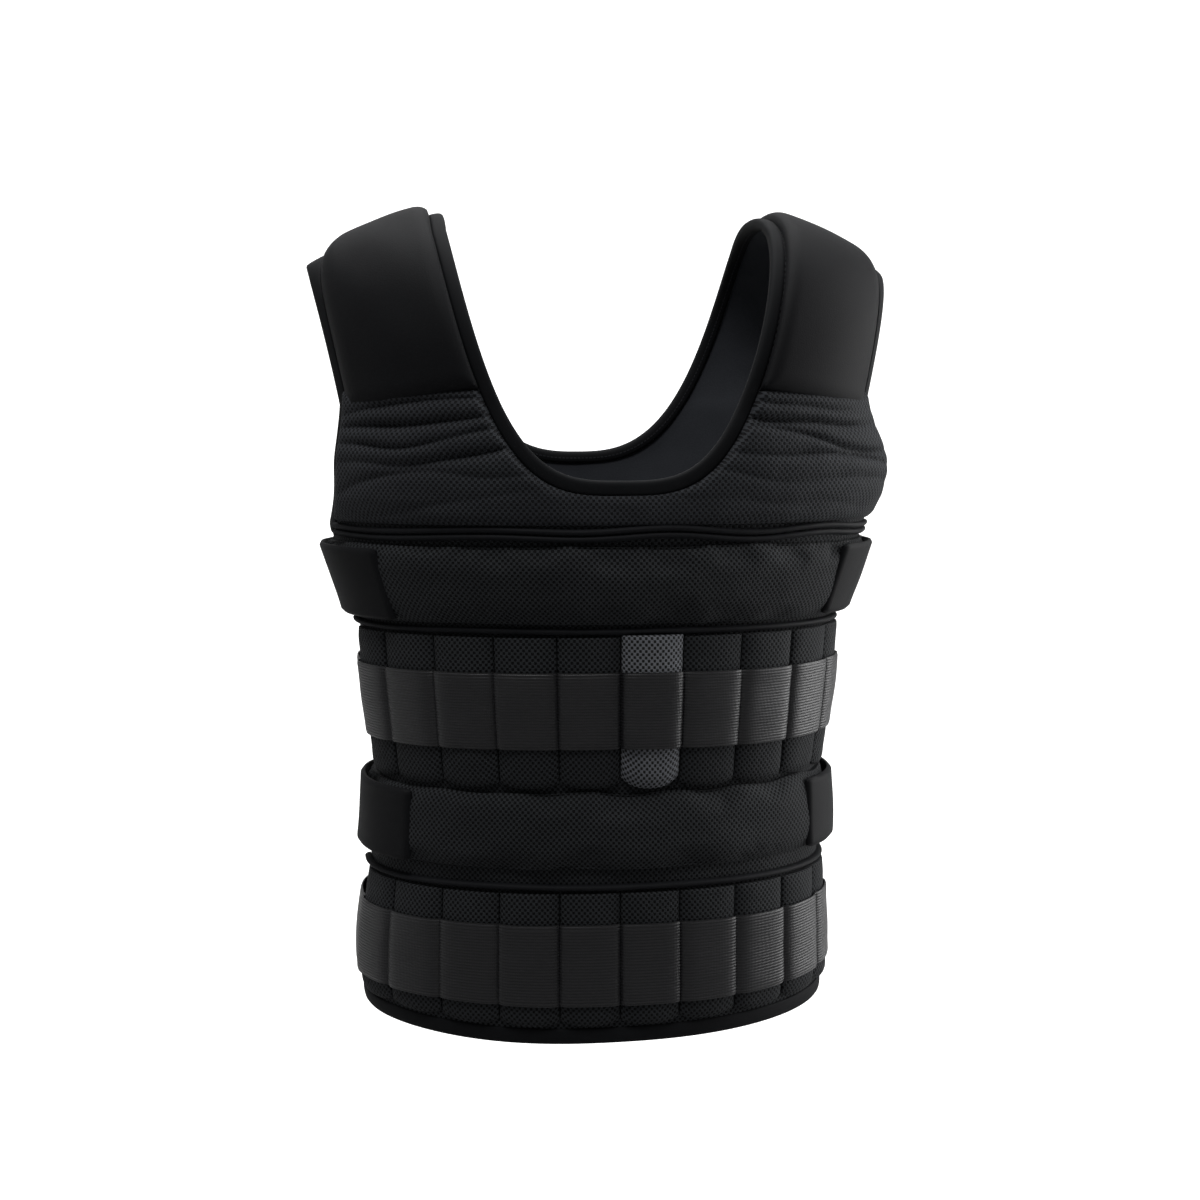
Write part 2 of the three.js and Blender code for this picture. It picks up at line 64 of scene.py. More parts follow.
# %% Sizes of the form, in millimetres
HALF_WIDTH, FRONT_DEPTH, BACK_DEPTH = 170.0, 118.0, 107.0
OVAL, ARCH = 2.25, 2.35  # exponents of the level section and of the arch over the shoulder
YOKE, HEM = -135.0, -587.0
NECK_HALF, TIP_HALF = 118.0, 213.0
SLOPE_DROP, SLOPE_BEND = 36.0, 1.5
TIP_FLARE, NECK_FLARE = 20.0, 19.0
WALL, LAYER = 5.0, 0.4
ON_BODY = WALL + LAYER
DROPS = [135.0, 175.5, 235.0, 289.0, 411.0, 465.0, 598.0]
SHARES = {
    "width": [1.175, 1.20, 1.15, 1.04, 0.97, 0.98, 0.99],
    "front": [1.09, 1.10, 1.08, 1.01, 0.97, 0.99, 1.00],
    "back": [1.13, 1.12, 1.08, 1.01, 0.95, 0.98, 1.01],
}
BLUR = 15  # half the length, in millimetres of height, over which the table's corners are rounded
HEIGHTS = np.arange(0.0, 700.0)


def rounded_table(shares):
    line = np.pad(np.interp(HEIGHTS, DROPS, shares), BLUR, mode="edge")
    kernel = np.hanning(2 * BLUR + 3)[1:-1]
    return np.convolve(line, kernel / kernel.sum(), mode="valid")


SECTION = {key: rounded_table(shares) for key, shares in SHARES.items()}
print("half width at the yoke, mm:", round(SECTION["width"][135] * HALF_WIDTH, 1))


# %% [markdown]
# The real vest isn't the same on both sides: the chest stands out more on the wearer's left, and the cloth gives
# a little between the belts. A few soft bumps in the form do that for all layers at once, so nothing comes apart.

# %% Points on the form
def as_arrays(*values):
    """Numbers and arrays as arrays of one shape."""
    return np.broadcast_arrays(*(np.asarray(v, float) for v in values))


def power(value, exponent):
    return np.sign(value) * np.abs(value) ** exponent


def hill(value, centre, width):
    return np.exp(-((value - centre) / width) ** 2)


def rounded_spread(count):
    """Shares from -1 to 1 as a column, closer at both ends, for rows that go up over a rounded section."""
    return np.sin(np.linspace(-1, 1, count) * math.pi / 2)[:, None]


def run_along(points):
    """Length run so far at each point of a line."""
    return np.concatenate([[0], np.cumsum(np.linalg.norm(np.diff(points, axis=0), axis=1))])


# Soft bumps: turn round the body in degrees, height, their half widths, and how far they stand out, in mm
BUMPS = [
    (76, -180, 34, 36, 11.0),
    (-70, -200, 30, 30, -1.0),
    (86, -262, 22, 26, 2.0),
    (88, -345, 24, 30, 2.0),
    (-88, -330, 24, 40, 1.6),
    (88, -445, 20, 24, 2.0),
    (-88, -545, 34, 62, 11.0),
    (88, -565, 30, 40, 2.0),
    (20, -470, 30, 30, 1.2),
    (-30, -300, 24, 26, -1.2),
]


def settle(turn, z):
    degrees = np.degrees(turn)
    return sum(out * hill(degrees, at, wide) * hill(z, height, tall) for at, height, wide, tall, out in BUMPS)


def droop(turn, z):
    """How far the lower edge hangs down more in front than at the sides."""
    low = np.clip((-z - 470) / 110, 0, 1)
    return 7.0 * hill(np.degrees(turn), -4, 52) * low * low * (3 - 2 * low)


def section(z):
    down = np.clip(-np.asarray(z, float), 0, HEIGHTS[-1])
    return [np.interp(down, HEIGHTS, SECTION[key]) * size
            for key, size in (("width", HALF_WIDTH), ("front", FRONT_DEPTH), ("back", BACK_DEPTH))]


def slope(x):
    out = np.clip((np.abs(x) - NECK_HALF) / (TIP_HALF - NECK_HALF), 0, None)
    return -SLOPE_DROP * out ** SLOPE_BEND


def on_body(turn, z, off, lift=0.0):
    """The point at an angle round the body and a height, on the form grown by off. lift goes over the shoulder."""
    turn, z, off, lift = as_arrays(turn, z, off, lift)
    width, front, back = section(z)
    off = off + settle(turn, z) * np.cos(lift)
    depth = np.where(np.cos(turn) > 0, front, back) + off
    width = width + off
    x = width * power(np.sin(turn), 2 / OVAL)
    y = -depth * power(np.cos(turn), 2 / OVAL)
    rise, draw = power(np.sin(lift), 2 / ARCH), power(np.cos(lift), 2 / ARCH)
    share = np.abs(x) / width
    x = x + np.sign(x) * share * (TIP_FLARE + 4 * NECK_FLARE * (1 - share)) * rise
    return np.stack([x, y * draw, z - droop(turn, z) + (slope(x) + off - z) * rise], -1)


# %% [markdown]
# A tape measure laid round the vest gives the places of seams, pockets and mesh holes in true lengths. The table
# turns such a length into the angle round the body: nought at the front, SIDE at the side seam, then on to the back.

# %% A tape measure round the body
TAPE_TURN = np.linspace(0, math.pi / 2, 721)
TAPE_POINTS = on_body(TAPE_TURN, -411.0, ON_BODY - settle(TAPE_TURN, -411.0))
TAPE_LENGTH = run_along(TAPE_POINTS)
SIDE = float(TAPE_LENGTH[-1])


def turn_at(length):
    length = (np.asarray(length, float) + 2 * SIDE) % (4 * SIDE) - 2 * SIDE
    far = np.abs(length)
    front = np.interp(far, TAPE_LENGTH, TAPE_TURN)
    back = math.pi - np.interp(2 * SIDE - far, TAPE_LENGTH, TAPE_TURN)
    return np.where(length < 0, -1, 1) * np.where(far <= SIDE, front, back)


def cloth(length, z, off, lift=0.0):
    return on_body(turn_at(length), z, off, lift)


print("quarter of the way round, mm:", round(SIDE, 1))

# %% [markdown]
# ## Openings
# The neck is a deep rounded U, cut straight through from front to back, and each armhole is a rounded oval cut
# from the side. Seen from the front, a point of the strap is known by its x and its height, so the two functions
# below find the rest of it: one from x and the rise over the shoulder, one from the depth and the height.

# %% Outlines of the openings
NECK = {"front": (189.0, 1.1, 0.30), "back": (173.0, 1.4, 0.36)}
NECK_STRAIGHT = 12.0
ARM_FRONT, ARM_BACK, ARM_BOTTOM = 52.0, 50.0, -221.0
ARM_TOP = float(slope(TIP_HALF)) + WALL / 2


def neck_width(side, down, margin):
    drop, fall, close = NECK[side]
    share = np.clip((down - NECK_STRAIGHT) / (drop + margin - NECK_STRAIGHT), 0, 1)
    return (NECK_HALF + margin) * (1 - share ** fall) ** close


def in_neck(p, margin):
    x, y, z = np.moveaxis(p, -1, 0)
    width = np.where(y < 0, neck_width("front", -z, margin), neck_width("back", -z, margin))
    return np.abs(x) < width


def arm_reach(across, up, margin):
    """How far the armhole goes from the yoke in depth and in height, on that side of its middle."""
    return (np.where(across < 0, ARM_FRONT, ARM_BACK) + margin,
            np.where(up > 0, ARM_TOP - YOKE, YOKE - ARM_BOTTOM) + margin)


def arm_edge(angle, margin):
    """Depth and height of the armhole's outline."""
    across, up = power(np.cos(angle), 2 / ARCH), power(np.sin(angle), 2 / ARCH)
    deep, tall = arm_reach(across, up, margin)
    return across * deep, YOKE + up * tall


def past_armhole(p, margin):
    """About how far a point lies outside the armhole's edge. It is below 0 in the hole."""
    y, up = p[..., 1], p[..., 2] - YOKE
    deep, tall = arm_reach(y, up, margin)
    return (((np.abs(y) / deep) ** ARCH + (np.abs(up) / tall) ** ARCH) ** (1 / ARCH) - 1) * deep


def in_armhole(p, margin):
    return (past_armhole(p, margin) < 0) & (np.abs(p[..., 0]) > NECK_HALF / 2)


# %% Points of the strap from x and the rise
def strap_point(x, rise, off, front=True):
    """x is positive, and rise is 0 at the yoke and 1 on the shoulder line. It may be below 0."""
    x, rise, off = as_arrays(x, rise, off)
    z = YOKE + (slope(x) + off - YOKE) * rise
    low_width, low_front, low_back = section(np.minimum(z, YOKE))
    over = np.clip(rise, 0, 1)
    wide = low_width + off
    a = -4 * NECK_FLARE * over / wide ** 2
    b = 1 + over * (TIP_FLARE + 4 * NECK_FLARE) / wide
    root = -b + np.sqrt(np.maximum(b * b + 4 * a * x, 0))
    x0 = np.where(over > 1e-6, root / np.where(over > 1e-6, 2 * a, 1), x)
    share = np.clip(x0 / wide, 0, 1)
    turn = np.arcsin(share ** (OVAL / 2))
    turn = turn if front else math.pi - turn
    extra = settle(turn, np.minimum(z, YOKE)) * np.sqrt(1 - over ** ARCH)
    depth = (low_front if front else low_back) + off + extra
    y = depth * (1 - share ** OVAL) ** (1 / OVAL) * (1 - over ** ARCH) ** (1 / ARCH)
    return np.stack([x, -y if front else y, z], -1)


def side_point(y, z, off, side=1):
    """The point of the wearer's left side, or right for -1, with that depth and height. Above the yoke its share
    of the half width is found by halving a range, since the height only falls as the share grows. The body's
    bumps depend on the point, so it is found five times, each time with the bump of the last."""
    y, z, off = as_arrays(y, z, off)
    width, front, back = section(np.minimum(z, YOKE))
    grown = np.array(off)
    for _ in range(5):
        depth, wide = np.where(y < 0, front, back) + grown, width + grown

        def out_to(share, rise):
            return wide * share + share * (TIP_FLARE + 4 * NECK_FLARE * (1 - share)) * rise

        low, high = np.zeros(y.shape), np.ones(y.shape)
        for _ in range(30):
            share = (low + high) / 2
            reach = depth * (1 - share ** OVAL) ** (1 / OVAL)
            rise = (1 - np.clip(np.abs(y) / reach, 0, 1) ** ARCH) ** (1 / ARCH)
            above = YOKE + (slope(out_to(share, rise)) + grown - YOKE) * rise > z
            low, high = np.where(above, share, low), np.where(above, high, share)
        low_share = np.clip(1 - (np.abs(y) / depth) ** OVAL, 0, 1) ** (1 / OVAL)
        share = np.where(z < YOKE, low_share, (low + high) / 2)
        x = out_to(share, 0 * share)
        for _ in range(12):
            rise = np.clip((z - YOKE) / (slope(x) + grown - YOKE), 0, 1)
            x = out_to(share, rise)
        turn = np.arcsin(share ** (OVAL / 2))
        turn = side * np.where(y < 0, turn, math.pi - turn)
        grown = off + settle(turn, np.minimum(z, YOKE)) * np.sqrt(1 - rise ** ARCH)
    return np.stack([side * x, y, z], -1)


print("shoulder tip, mm:", np.round(side_point(0.0, ARM_TOP, WALL), 1))

# %% [markdown]
# ## Meshes from grids
# Each piece is a grid of points with its faces, closed with an inner grid and a rim where it has thickness. The
# UV map holds true lengths in metres, along the tape and up the cloth, so a weave has one size all over the vest.

# %% Mesh helpers
def grid_faces(rows, columns, ring):
    """Corners of each face of a grid: as points, which close up in a ring, and as places in its UV map."""
    loop = columns - 1 if ring else columns
    r, c = np.meshgrid(np.arange(rows - 1), np.arange(columns - 1), indexing="ij")
    corners = [(r, c), (r, c + 1), (r + 1, c + 1), (r + 1, c)]
    ids = np.stack([a * loop + b % loop for a, b in corners], -1).reshape(-1, 4)
    places = np.stack([a * columns + b for a, b in corners], -1).reshape(-1, 4)
    return ids, places


def true_uv(points):
    """Lengths in metres along the rows and the columns of a grid, from its middle."""
    across = np.linalg.norm(np.diff(points, axis=1), axis=2)
    up = np.linalg.norm(np.diff(points, axis=0), axis=2)
    u = np.pad(np.cumsum(across, 1), ((0, 0), (1, 0)))
    v = np.pad(np.cumsum(up, 0), ((1, 0), (0, 0)))
    u = np.repeat(u.mean(0, keepdims=True), len(points), 0)
    v = np.repeat(v.mean(1, keepdims=True), points.shape[1], 1)
    return np.stack([u - u.mean(), v - v.max()], -1) * MM


def make_piece(name, points, faces, uv, material, nodes=(), slot="mesh", sharp=50):
    mesh = bpy.data.meshes.new(name)
    mesh.from_pydata((points * MM).tolist(), [], faces.tolist())
    layer = mesh.uv_layers.new(name="UVMap")
    layer.data.foreach_set("uv", uv.reshape(-1).astype(np.float32))
    mesh.polygons.foreach_set("use_smooth", [True] * len(mesh.polygons))
    mesh.set_sharp_from_angle(angle=math.radians(sharp))
    mesh.materials.append(material)
    piece = placed(name, mesh)
    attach(piece, "root")
    if nodes:
        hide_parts(*nodes)
    return piece


def slab_parts(outer, inner, uv, ring=False, start=0):
    """Points, faces and UVs of a closed body between two grids, whose rows go up and columns go anticlockwise."""
    rows, columns = outer.shape[:2]
    loop = columns - 1 if ring else columns
    layer = rows * loop
    points = np.concatenate([outer[:, :loop].reshape(-1, 3), inner[:, :loop].reshape(-1, 3)])
    ids, places = grid_faces(rows, columns, ring)
    faces, spots = [ids, ids[:, ::-1] + layer], [places, places[:, ::-1]]

    def rim(line, line_places, flip):
        a, b = line[:-1], line[1:]
        p, q = line_places[:-1], line_places[1:]
        quad, spot = np.stack([b, a, a + layer, b + layer], -1), np.stack([q, p, p, q], -1)
        faces.append(quad[:, ::-1] if flip else quad)
        spots.append(spot[:, ::-1] if flip else spot)

    c = np.arange(columns)
    rim(c % loop, c, False)
    rim((rows - 1) * loop + c % loop, (rows - 1) * columns + c, True)
    if not ring:
        r = np.arange(rows)
        rim(r * loop, r * columns, True)
        rim(r * loop + columns - 1, r * columns + columns - 1, False)
    faces, spots = np.concatenate(faces) + start, np.concatenate(spots)
    return points, faces, uv.reshape(-1, 2)[spots]


def make_slab(name, outer, inner, material, nodes=(), slot="mesh", ring=False, uv=None, sharp=50):
    parts = slab_parts(outer, inner, true_uv(outer) if uv is None else uv, ring)
    return make_piece(name, *parts, material, nodes, slot, sharp)


def mirrored(grid):
    """The same grid on the wearer's other side, with its columns still anticlockwise."""
    return grid[:, ::-1] * np.array([-1, 1, 1])


# %% [markdown]
# ## Materials
# The air mesh is a knit of fine threads round small holes that sit like the spots on a die: each row is shifted by
# half a hole. A product of two cosines of the true lengths gives just that pattern, so one node group makes it and
# the threads' height for the bump. The webbing is ribbed lengthways, and the tapes have a line of stitches.

# %% Node helpers
def new_group(name, ins, outs):
    group = bpy.data.node_groups.new(name, "ShaderNodeTree")
    for label, value in ins.items():
        kind = "NodeSocketVector" if value is None else "NodeSocketFloat"
        socket = group.interface.new_socket(name=label, in_out="INPUT", socket_type=kind)
        if value is not None:
            socket.default_value = value
    for label in outs:
        group.interface.new_socket(name=label, in_out="OUTPUT", socket_type="NodeSocketFloat")
    return group, group.nodes.new("NodeGroupInput"), group.nodes.new("NodeGroupOutput")


def math_node(tree, operation, a, b=None, c=None):
    node = tree.nodes.new("ShaderNodeMath")
    node.operation = operation
    for socket, value in zip(node.inputs, (a, b, c)):
        if isinstance(value, (int, float)):
            socket.default_value = value
        elif value is not None:
            tree.links.new(value, socket)
    return node.outputs[0]


def wave_node(tree, kind, value, pitch):
    """SINE or COSINE of a length, with one wave to each pitch."""
    return math_node(tree, kind, math_node(tree, "MULTIPLY", math_node(tree, "DIVIDE", value, pitch), 2 * math.pi))


def ramp_between(tree, value, low, high):
    """0 at low and 1 at high, which may be the smaller of the two, with a smooth step between."""
    node = tree.nodes.new("ShaderNodeMapRange")
    node.interpolation_type = "SMOOTHSTEP"
    tree.links.new(value, node.inputs["Value"])
    node.inputs["From Min"].default_value = low
    node.inputs["From Max"].default_value = high
    return node.outputs["Result"]


def split_uv(tree, socket):
    node = tree.nodes.new("ShaderNodeSeparateXYZ")
    tree.links.new(socket, node.inputs[0])
    return node.outputs[0], node.outputs[1]


def give(group, outs, mask, relief, depth):
    """Sends a mask out of the group, and then a height: the relief times a depth in metres."""
    group.links.new(mask, outs.inputs[0])
    group.links.new(math_node(group, "MULTIPLY", relief, depth), outs.inputs[1])
    return group


# %% Air mesh: threads round staggered holes
def air_mesh_group():
    group, ins, outs = new_group("air mesh", {"Place": None, "Across": 0.004, "Up": 0.0044}, ["Thread", "Height"])
    u, v = split_uv(group, ins.outputs["Place"])
    spots = math_node(group, "MULTIPLY", wave_node(group, "COSINE", u, ins.outputs["Across"]),
                      wave_node(group, "COSINE", v, ins.outputs["Up"]))
    thread = ramp_between(group, spots, 0.45, -0.15)
    return give(group, outs, thread, thread, 0.0008)


# %% Webbing: ribs along the band, with the fine diagonal of the weave
def webbing_group():
    group, ins, outs = new_group("ribbed webbing", {"Place": None, "Rib": 0.0021}, ["Rib light", "Height"])
    u, v = split_uv(group, ins.outputs["Place"])
    rib = wave_node(group, "SINE", v, ins.outputs["Rib"])
    pick = wave_node(group, "SINE", u, 0.0012)
    both = math_node(group, "ADD", rib, math_node(group, "MULTIPLY", pick, 0.25))
    return give(group, outs, ramp_between(group, both, -1.0, 1.0), both, 0.00014)


# %% Stitches: short dashes along one line of a tape
def stitch_group():
    group, ins, outs = new_group("stitch line", {"Place": None, "Line": -0.004, "Pitch": 0.0032},
                                 ["Stitch", "Height"])
    u, v = split_uv(group, ins.outputs["Place"])
    near = math_node(group, "ABSOLUTE", math_node(group, "SUBTRACT", v, ins.outputs["Line"]))
    part = math_node(group, "FRACT", math_node(group, "DIVIDE", u, ins.outputs["Pitch"]))
    from_middle = math_node(group, "ABSOLUTE", math_node(group, "SUBTRACT", part, 0.5))
    on_line, dash = ramp_between(group, near, 0.0007, 0.0003), ramp_between(group, from_middle, 0.4, 0.28)
    stitch = math_node(group, "MULTIPLY", on_line, dash)
    return give(group, outs, stitch, stitch, 0.0003)


# %% Cloth grain: a little unevenness that every cloth shares
def grain_group():
    group, ins, outs = new_group("cloth grain", {"Place": None, "Fine": 900.0, "Broad": 14.0},
                                 ["Fine noise", "Broad noise"])
    for label, name in (("Fine", "Fine noise"), ("Broad", "Broad noise")):
        noise = group.nodes.new("ShaderNodeTexNoise")
        noise.inputs["Detail"].default_value = 3
        group.links.new(ins.outputs["Place"], noise.inputs["Vector"])
        group.links.new(ins.outputs[label], noise.inputs["Scale"])
        group.links.new(noise.outputs[0], outs.inputs[name])
    return group


GROUPS = {"mesh": air_mesh_group(), "webbing": webbing_group(), "stitch": stitch_group(), "grain": grain_group()}
print("node groups:", sorted(GROUPS))


# %% [markdown]
# Each material mixes two near-black colours with a mask from its group, then lets a broad noise darken it a
# little. The sheen stands for the loose fibres on the surface, which catch the light at the vest's sides.

# %% Materials
def colour(red, green, blue):
    """A Principled colour from 0-255 values as a screen shows them."""
    light = [(c / 255 + 0.055) / 1.055 if c > 10 else 0 for c in (red, green, blue)]
    return tuple(part ** 2.4 if part else c / 255 / 12.92 for part, c in zip(light, (red, green, blue))) + (1,)


def mixed(tree, kind, share, a, b):
    """The output of a node that mixes two colours, each a value or a socket."""
    node = tree.nodes.new("ShaderNodeMix")
    node.data_type, node.blend_type = "RGBA", kind
    tree.links.new(share, node.inputs["Factor"])
    for label, value in (("A", a), ("B", b)):
        if isinstance(value, tuple):
            node.inputs[label].default_value = value
        else:
            tree.links.new(value, node.inputs[label])
    return node.outputs["Result"]


def cloth_material(name, dark, light, roughness, kind=None, sheen=0.01, gloss=0.2):
    material = bpy.data.materials.new(name)
    material.use_nodes = True
    tree = material.node_tree
    shader = tree.nodes["Principled BSDF"]
    place = tree.nodes.new("ShaderNodeUVMap").outputs[0]
    grain = tree.nodes.new("ShaderNodeGroup")
    grain.node_tree = GROUPS["grain"]
    tree.links.new(place, grain.inputs["Place"])
    mask, height = grain.outputs["Fine noise"], math_node(tree, "MULTIPLY", grain.outputs["Fine noise"], 0.00012)
    if kind:
        pattern = tree.nodes.new("ShaderNodeGroup")
        pattern.node_tree = GROUPS[kind]
        tree.links.new(place, pattern.inputs["Place"])
        mask = pattern.outputs[0]
        height = math_node(tree, "ADD", pattern.outputs["Height"], math_node(tree, "MULTIPLY", height, 0.5))
    worn = ramp_between(tree, grain.outputs["Broad noise"], 0.75, 0.3)
    cloth_colour = mixed(tree, "MIX", mask, dark, light)
    tree.links.new(mixed(tree, "MULTIPLY", worn, cloth_colour, (0.72, 0.72, 0.74, 1)), shader.inputs["Base Color"])
    relief = tree.nodes.new("ShaderNodeBump")
    relief.inputs["Distance"].default_value = 1.0
    tree.links.new(height, relief.inputs["Height"])
    tree.links.new(relief.outputs["Normal"], shader.inputs["Normal"])
    for label, value in (("Roughness", roughness), ("Specular IOR Level", gloss), ("Sheen Weight", sheen),
                         ("Sheen Roughness", 0.5)):
        shader.inputs[label].default_value = value
    return material


AIR_MESH = cloth_material("black air mesh", colour(1, 1, 2), colour(35, 37, 39), 0.75, "mesh", gloss=0.1)
# Painted light: the chest cover gets a lighter, flatter copy of the air mesh, so the chest looks brighter than the
# rest of the vest.
LIT_CHEST_MESH = cloth_material("chest air mesh with painted light", colour(13, 13, 15), colour(39, 41, 44), 0.75, "mesh", gloss=0.1)
# Painted highlight: one pocket's mesh threads are painted pale, for the shine of the bright steel plate seen through
# them.
PLATE_SHINE_MESH = cloth_material("air mesh with painted plate shine", colour(3, 3, 4), colour(88, 90, 94), 0.7, "mesh", gloss=0.2)
LINING = cloth_material("black lining", colour(36, 38, 42), colour(48, 50, 54), 0.8, gloss=0.1)
PAD_CLOTH = cloth_material("smooth pad cloth", colour(9, 9, 11), colour(15, 16, 18), 0.65, gloss=0.07, sheen=0.006)
WEBBING = cloth_material("ribbed charcoal webbing", colour(5, 5, 7), colour(22, 22, 25), 0.42, "webbing", gloss=0.28)
TAPE = cloth_material("black binding tape", colour(12, 13, 15), colour(32, 33, 36), 0.75, "stitch", gloss=0.08,
                      sheen=0.004)
EDGE_TAPE = cloth_material("edge tape", colour(8, 9, 11), colour(17, 18, 21), 0.7, gloss=0.1, sheen=0.0)
print("materials:", len(bpy.data.materials))

# %% [markdown]
# ## The body
# The body is one hollow shell of air mesh over thin foam, with a smooth lining. A grid goes all the way round and
# on over the shoulders, and its front and back halves are welded along the shoulder line. Faces inside the neck and
# the armholes are taken out a little short of the edge, where the binding hides the steps. Solidify gives the
# foam's thickness and puts the lining's material on the inside.

# %% The body shell
def arch_lifts(count):
    """Turns over the shoulder that are evenly spaced along the cloth."""
    lifts = np.linspace(0, math.pi / 2, 400)
    points = cloth(SIDE * 0.62, YOKE, WALL, lifts)
    run = run_along(points)
    return np.interp(np.linspace(0, run[-1], count), run, lifts)


def wrinkle(length, z, seed, size=30.0):
    """Smooth unevenness from a few waves, between -1 and 1."""
    draw = np.random.default_rng(seed)
    total = 0
    for _ in range(6):
        angle, phase = draw.uniform(0, math.pi), draw.uniform(0, 2 * math.pi)
        wave = size * draw.uniform(0.7, 1.8)
        total = total + np.sin((length * math.cos(angle) + z * math.sin(angle)) * 2 * math.pi / wave + phase)
    return total / 6


COLUMN = 4.0
SHELL_SHORT = 4.2  # how far short of an opening's edge the faces stop
round_lengths = np.linspace(-2 * SIDE, 2 * SIDE, int(round(4 * SIDE / COLUMN)) + 1)
low_heights = np.linspace(HEM + 6, YOKE, 112)
lifts = arch_lifts(44)[1:]


def body_shell():
    length = round_lengths[None, :]
    low = cloth(length, low_heights[:, None], WALL + 0.5 * wrinkle(length, low_heights[:, None], 3, 45))
    high = cloth(length, YOKE, WALL, lifts[:, None])
    points = np.concatenate([low, high])
    uv = true_uv(points)
    uv[..., 0] = round_lengths * MM
    rows, columns = points.shape[:2]
    ids, places = grid_faces(rows, columns, True)
    flat = points[:, :-1].reshape(-1, 3)
    middle = flat[ids].mean(1)
    keep = ~(in_neck(middle, SHELL_SHORT) | in_armhole(middle, SHELL_SHORT))
    body = make_piece("body_shell", flat, ids[keep], uv.reshape(-1, 2)[places[keep]], AIR_MESH,
                      ("front_panel", "back_panel"), "mesh")
    mesh = bmesh.new()
    mesh.from_mesh(body.data)
    bmesh.ops.remove_doubles(mesh, verts=mesh.verts, dist=0.00005)
    bmesh.ops.delete(mesh, geom=[v for v in mesh.verts if not v.link_faces], context="VERTS")
    mesh.to_mesh(body.data)
    mesh.free()
    body.data.materials.append(LINING)
    thick = body.modifiers.new("foam", "SOLIDIFY")
    thick.thickness = WALL * MM
    thick.offset = -1
    thick.material_offset = 1
    thick.material_offset_rim = 1
    return body


body = body_shell()
print("body faces:", len(body.data.polygons))

# %% [markdown]
# ## Bindings
# A cut edge of padded cloth is closed with a tape folded over it and stitched through. Its section is a U, given
# here as distances from the edge and off the body, and the U is swept along each opening. The points of the sweep
# come from the same outlines as the cut, moved out by the distance, so the tape always lies flat on the cloth.

# %% The folded tape
FOLD = np.array([(9.4, 5.0), (9.0, 5.6), (7.8, 5.9), (5.5, 6.1), (3.0, 6.1), (1.2, 5.8), (0.1, 5.0), (-0.3, 4.0),
                 (-0.4, 2.5), (-0.3, 1.0), (0.1, -0.5), (1.2, -1.4), (3.5, -1.8), (7.0, -1.6), (9.0, -0.9)])
TAPE_STEP = 4.0  # along the tape
TAPE_WALL = 0.7


def evenly(values, points, step):
    """Values respaced so that the points they give are about step apart."""
    run = run_along(points)
    count = max(3, int(round(run[-1] / step)) + 1)
    return np.interp(np.linspace(0, run[-1], count), run, values)


def make_tape(name, points, node):
    """points is a closed grid: along the tape, then round the fold. It gets a wall of its own."""
    grid = np.swapaxes(points, 0, 1)
    uv = true_uv(grid)
    ids, places = grid_faces(*grid.shape[:2], True)
    flat = grid[:, :-1].reshape(-1, 3)
    tape = make_piece(name, flat, ids, uv.reshape(-1, 2)[places], TAPE, (node,), "tape")
    wall = tape.modifiers.new("tape wall", "SOLIDIFY")
    wall.thickness = TAPE_WALL * MM
    wall.offset = 0


def neck_line(side, margin, off, falls, crossing):
    """One half of the neck's edge on the wearer's left, from the bottom up, then over to the shoulder line."""
    drop = NECK[side][0] + margin
    down = NECK_STRAIGHT + (drop - NECK_STRAIGHT) * np.sin(falls)
    x = neck_width(side, down, margin)
    rise = (-down - YOKE) / (slope(x) + off - YOKE)
    low = strap_point(x, rise, off, side == "front")
    x = np.full(crossing.shape, NECK_HALF + margin)
    start = (-NECK_STRAIGHT - YOKE) / (slope(x) + off - YOKE)
    over = np.sin(np.arcsin(start ** (ARCH / 2)) * (1 - crossing) + crossing * math.pi / 2) ** (2 / ARCH)
    return np.concatenate([low[:-1], strap_point(x, over, off, side == "front")])


def neck_ring(margin, off):
    lines = {}
    for side in ("front", "back"):
        falls = np.linspace(math.pi / 2, 0, 300)
        reference = neck_line(side, 0.0, WALL / 2, falls, np.array([0.0]))
        falls = evenly(falls, reference, TAPE_STEP)
        lines[side] = neck_line(side, margin, off, falls, np.linspace(0, 1, 9))
    right = np.concatenate([lines["front"], lines["back"][-2::-1]])
    left = right[-2:0:-1] * np.array([-1, 1, 1])
    return np.concatenate([right, left, right[:1]])


def arm_ring(margin, off, angles, side=1):
    return side_point(*arm_edge(angles, margin), off, side)


neck_points = np.stack([neck_ring(m, o) for m, o in FOLD], 1)
make_tape("neck_tape", neck_points, "neck_binding")
arm_angles = np.linspace(0, 2 * math.pi, 600)
arm_angles = evenly(arm_angles, arm_ring(0.0, WALL / 2, arm_angles), TAPE_STEP)
for side, name in ((1, "left"), (-1, "right")):
    arm_points = np.stack([arm_ring(m, o, arm_angles, side) for m, o in FOLD], 1)
    make_tape("armhole_tape_" + name, arm_points, "armhole_binding_" + name)
hem_waves = 1.2 * wrinkle(round_lengths, 0, 11, 120)
hem_points = np.stack([cloth(round_lengths, HEM + m * 1.15 + hem_waves * 0.6, o) for m, o in FOLD], 1)
make_tape("hem_tape", hem_points, "hem_binding")

# %% [markdown]
# ## Shoulder pads
# Each pad is a smooth foam panel that lies over the shoulder, stitched flat at its rim, so it swells a few
# millimetres inside a narrow margin and is nearly flat beyond. Its rows run over the shoulder at even lengths and
# its columns keep between the neck's and the armhole's tapes. The lower edge slants: it is lower at the arm.

# %% Pads
PAD_THICK, PAD_EDGE, PAD_RIM, PAD_MARGIN = 9.0, 2.2, 13.0, 10.2
PAD_BOTTOM_IN, PAD_BOTTOM_OUT, PAD_BACK_UP = 10.0, -5.0, 4.0  # from the yoke up
PAD_ROWS, PAD_COLUMNS = 72, 40


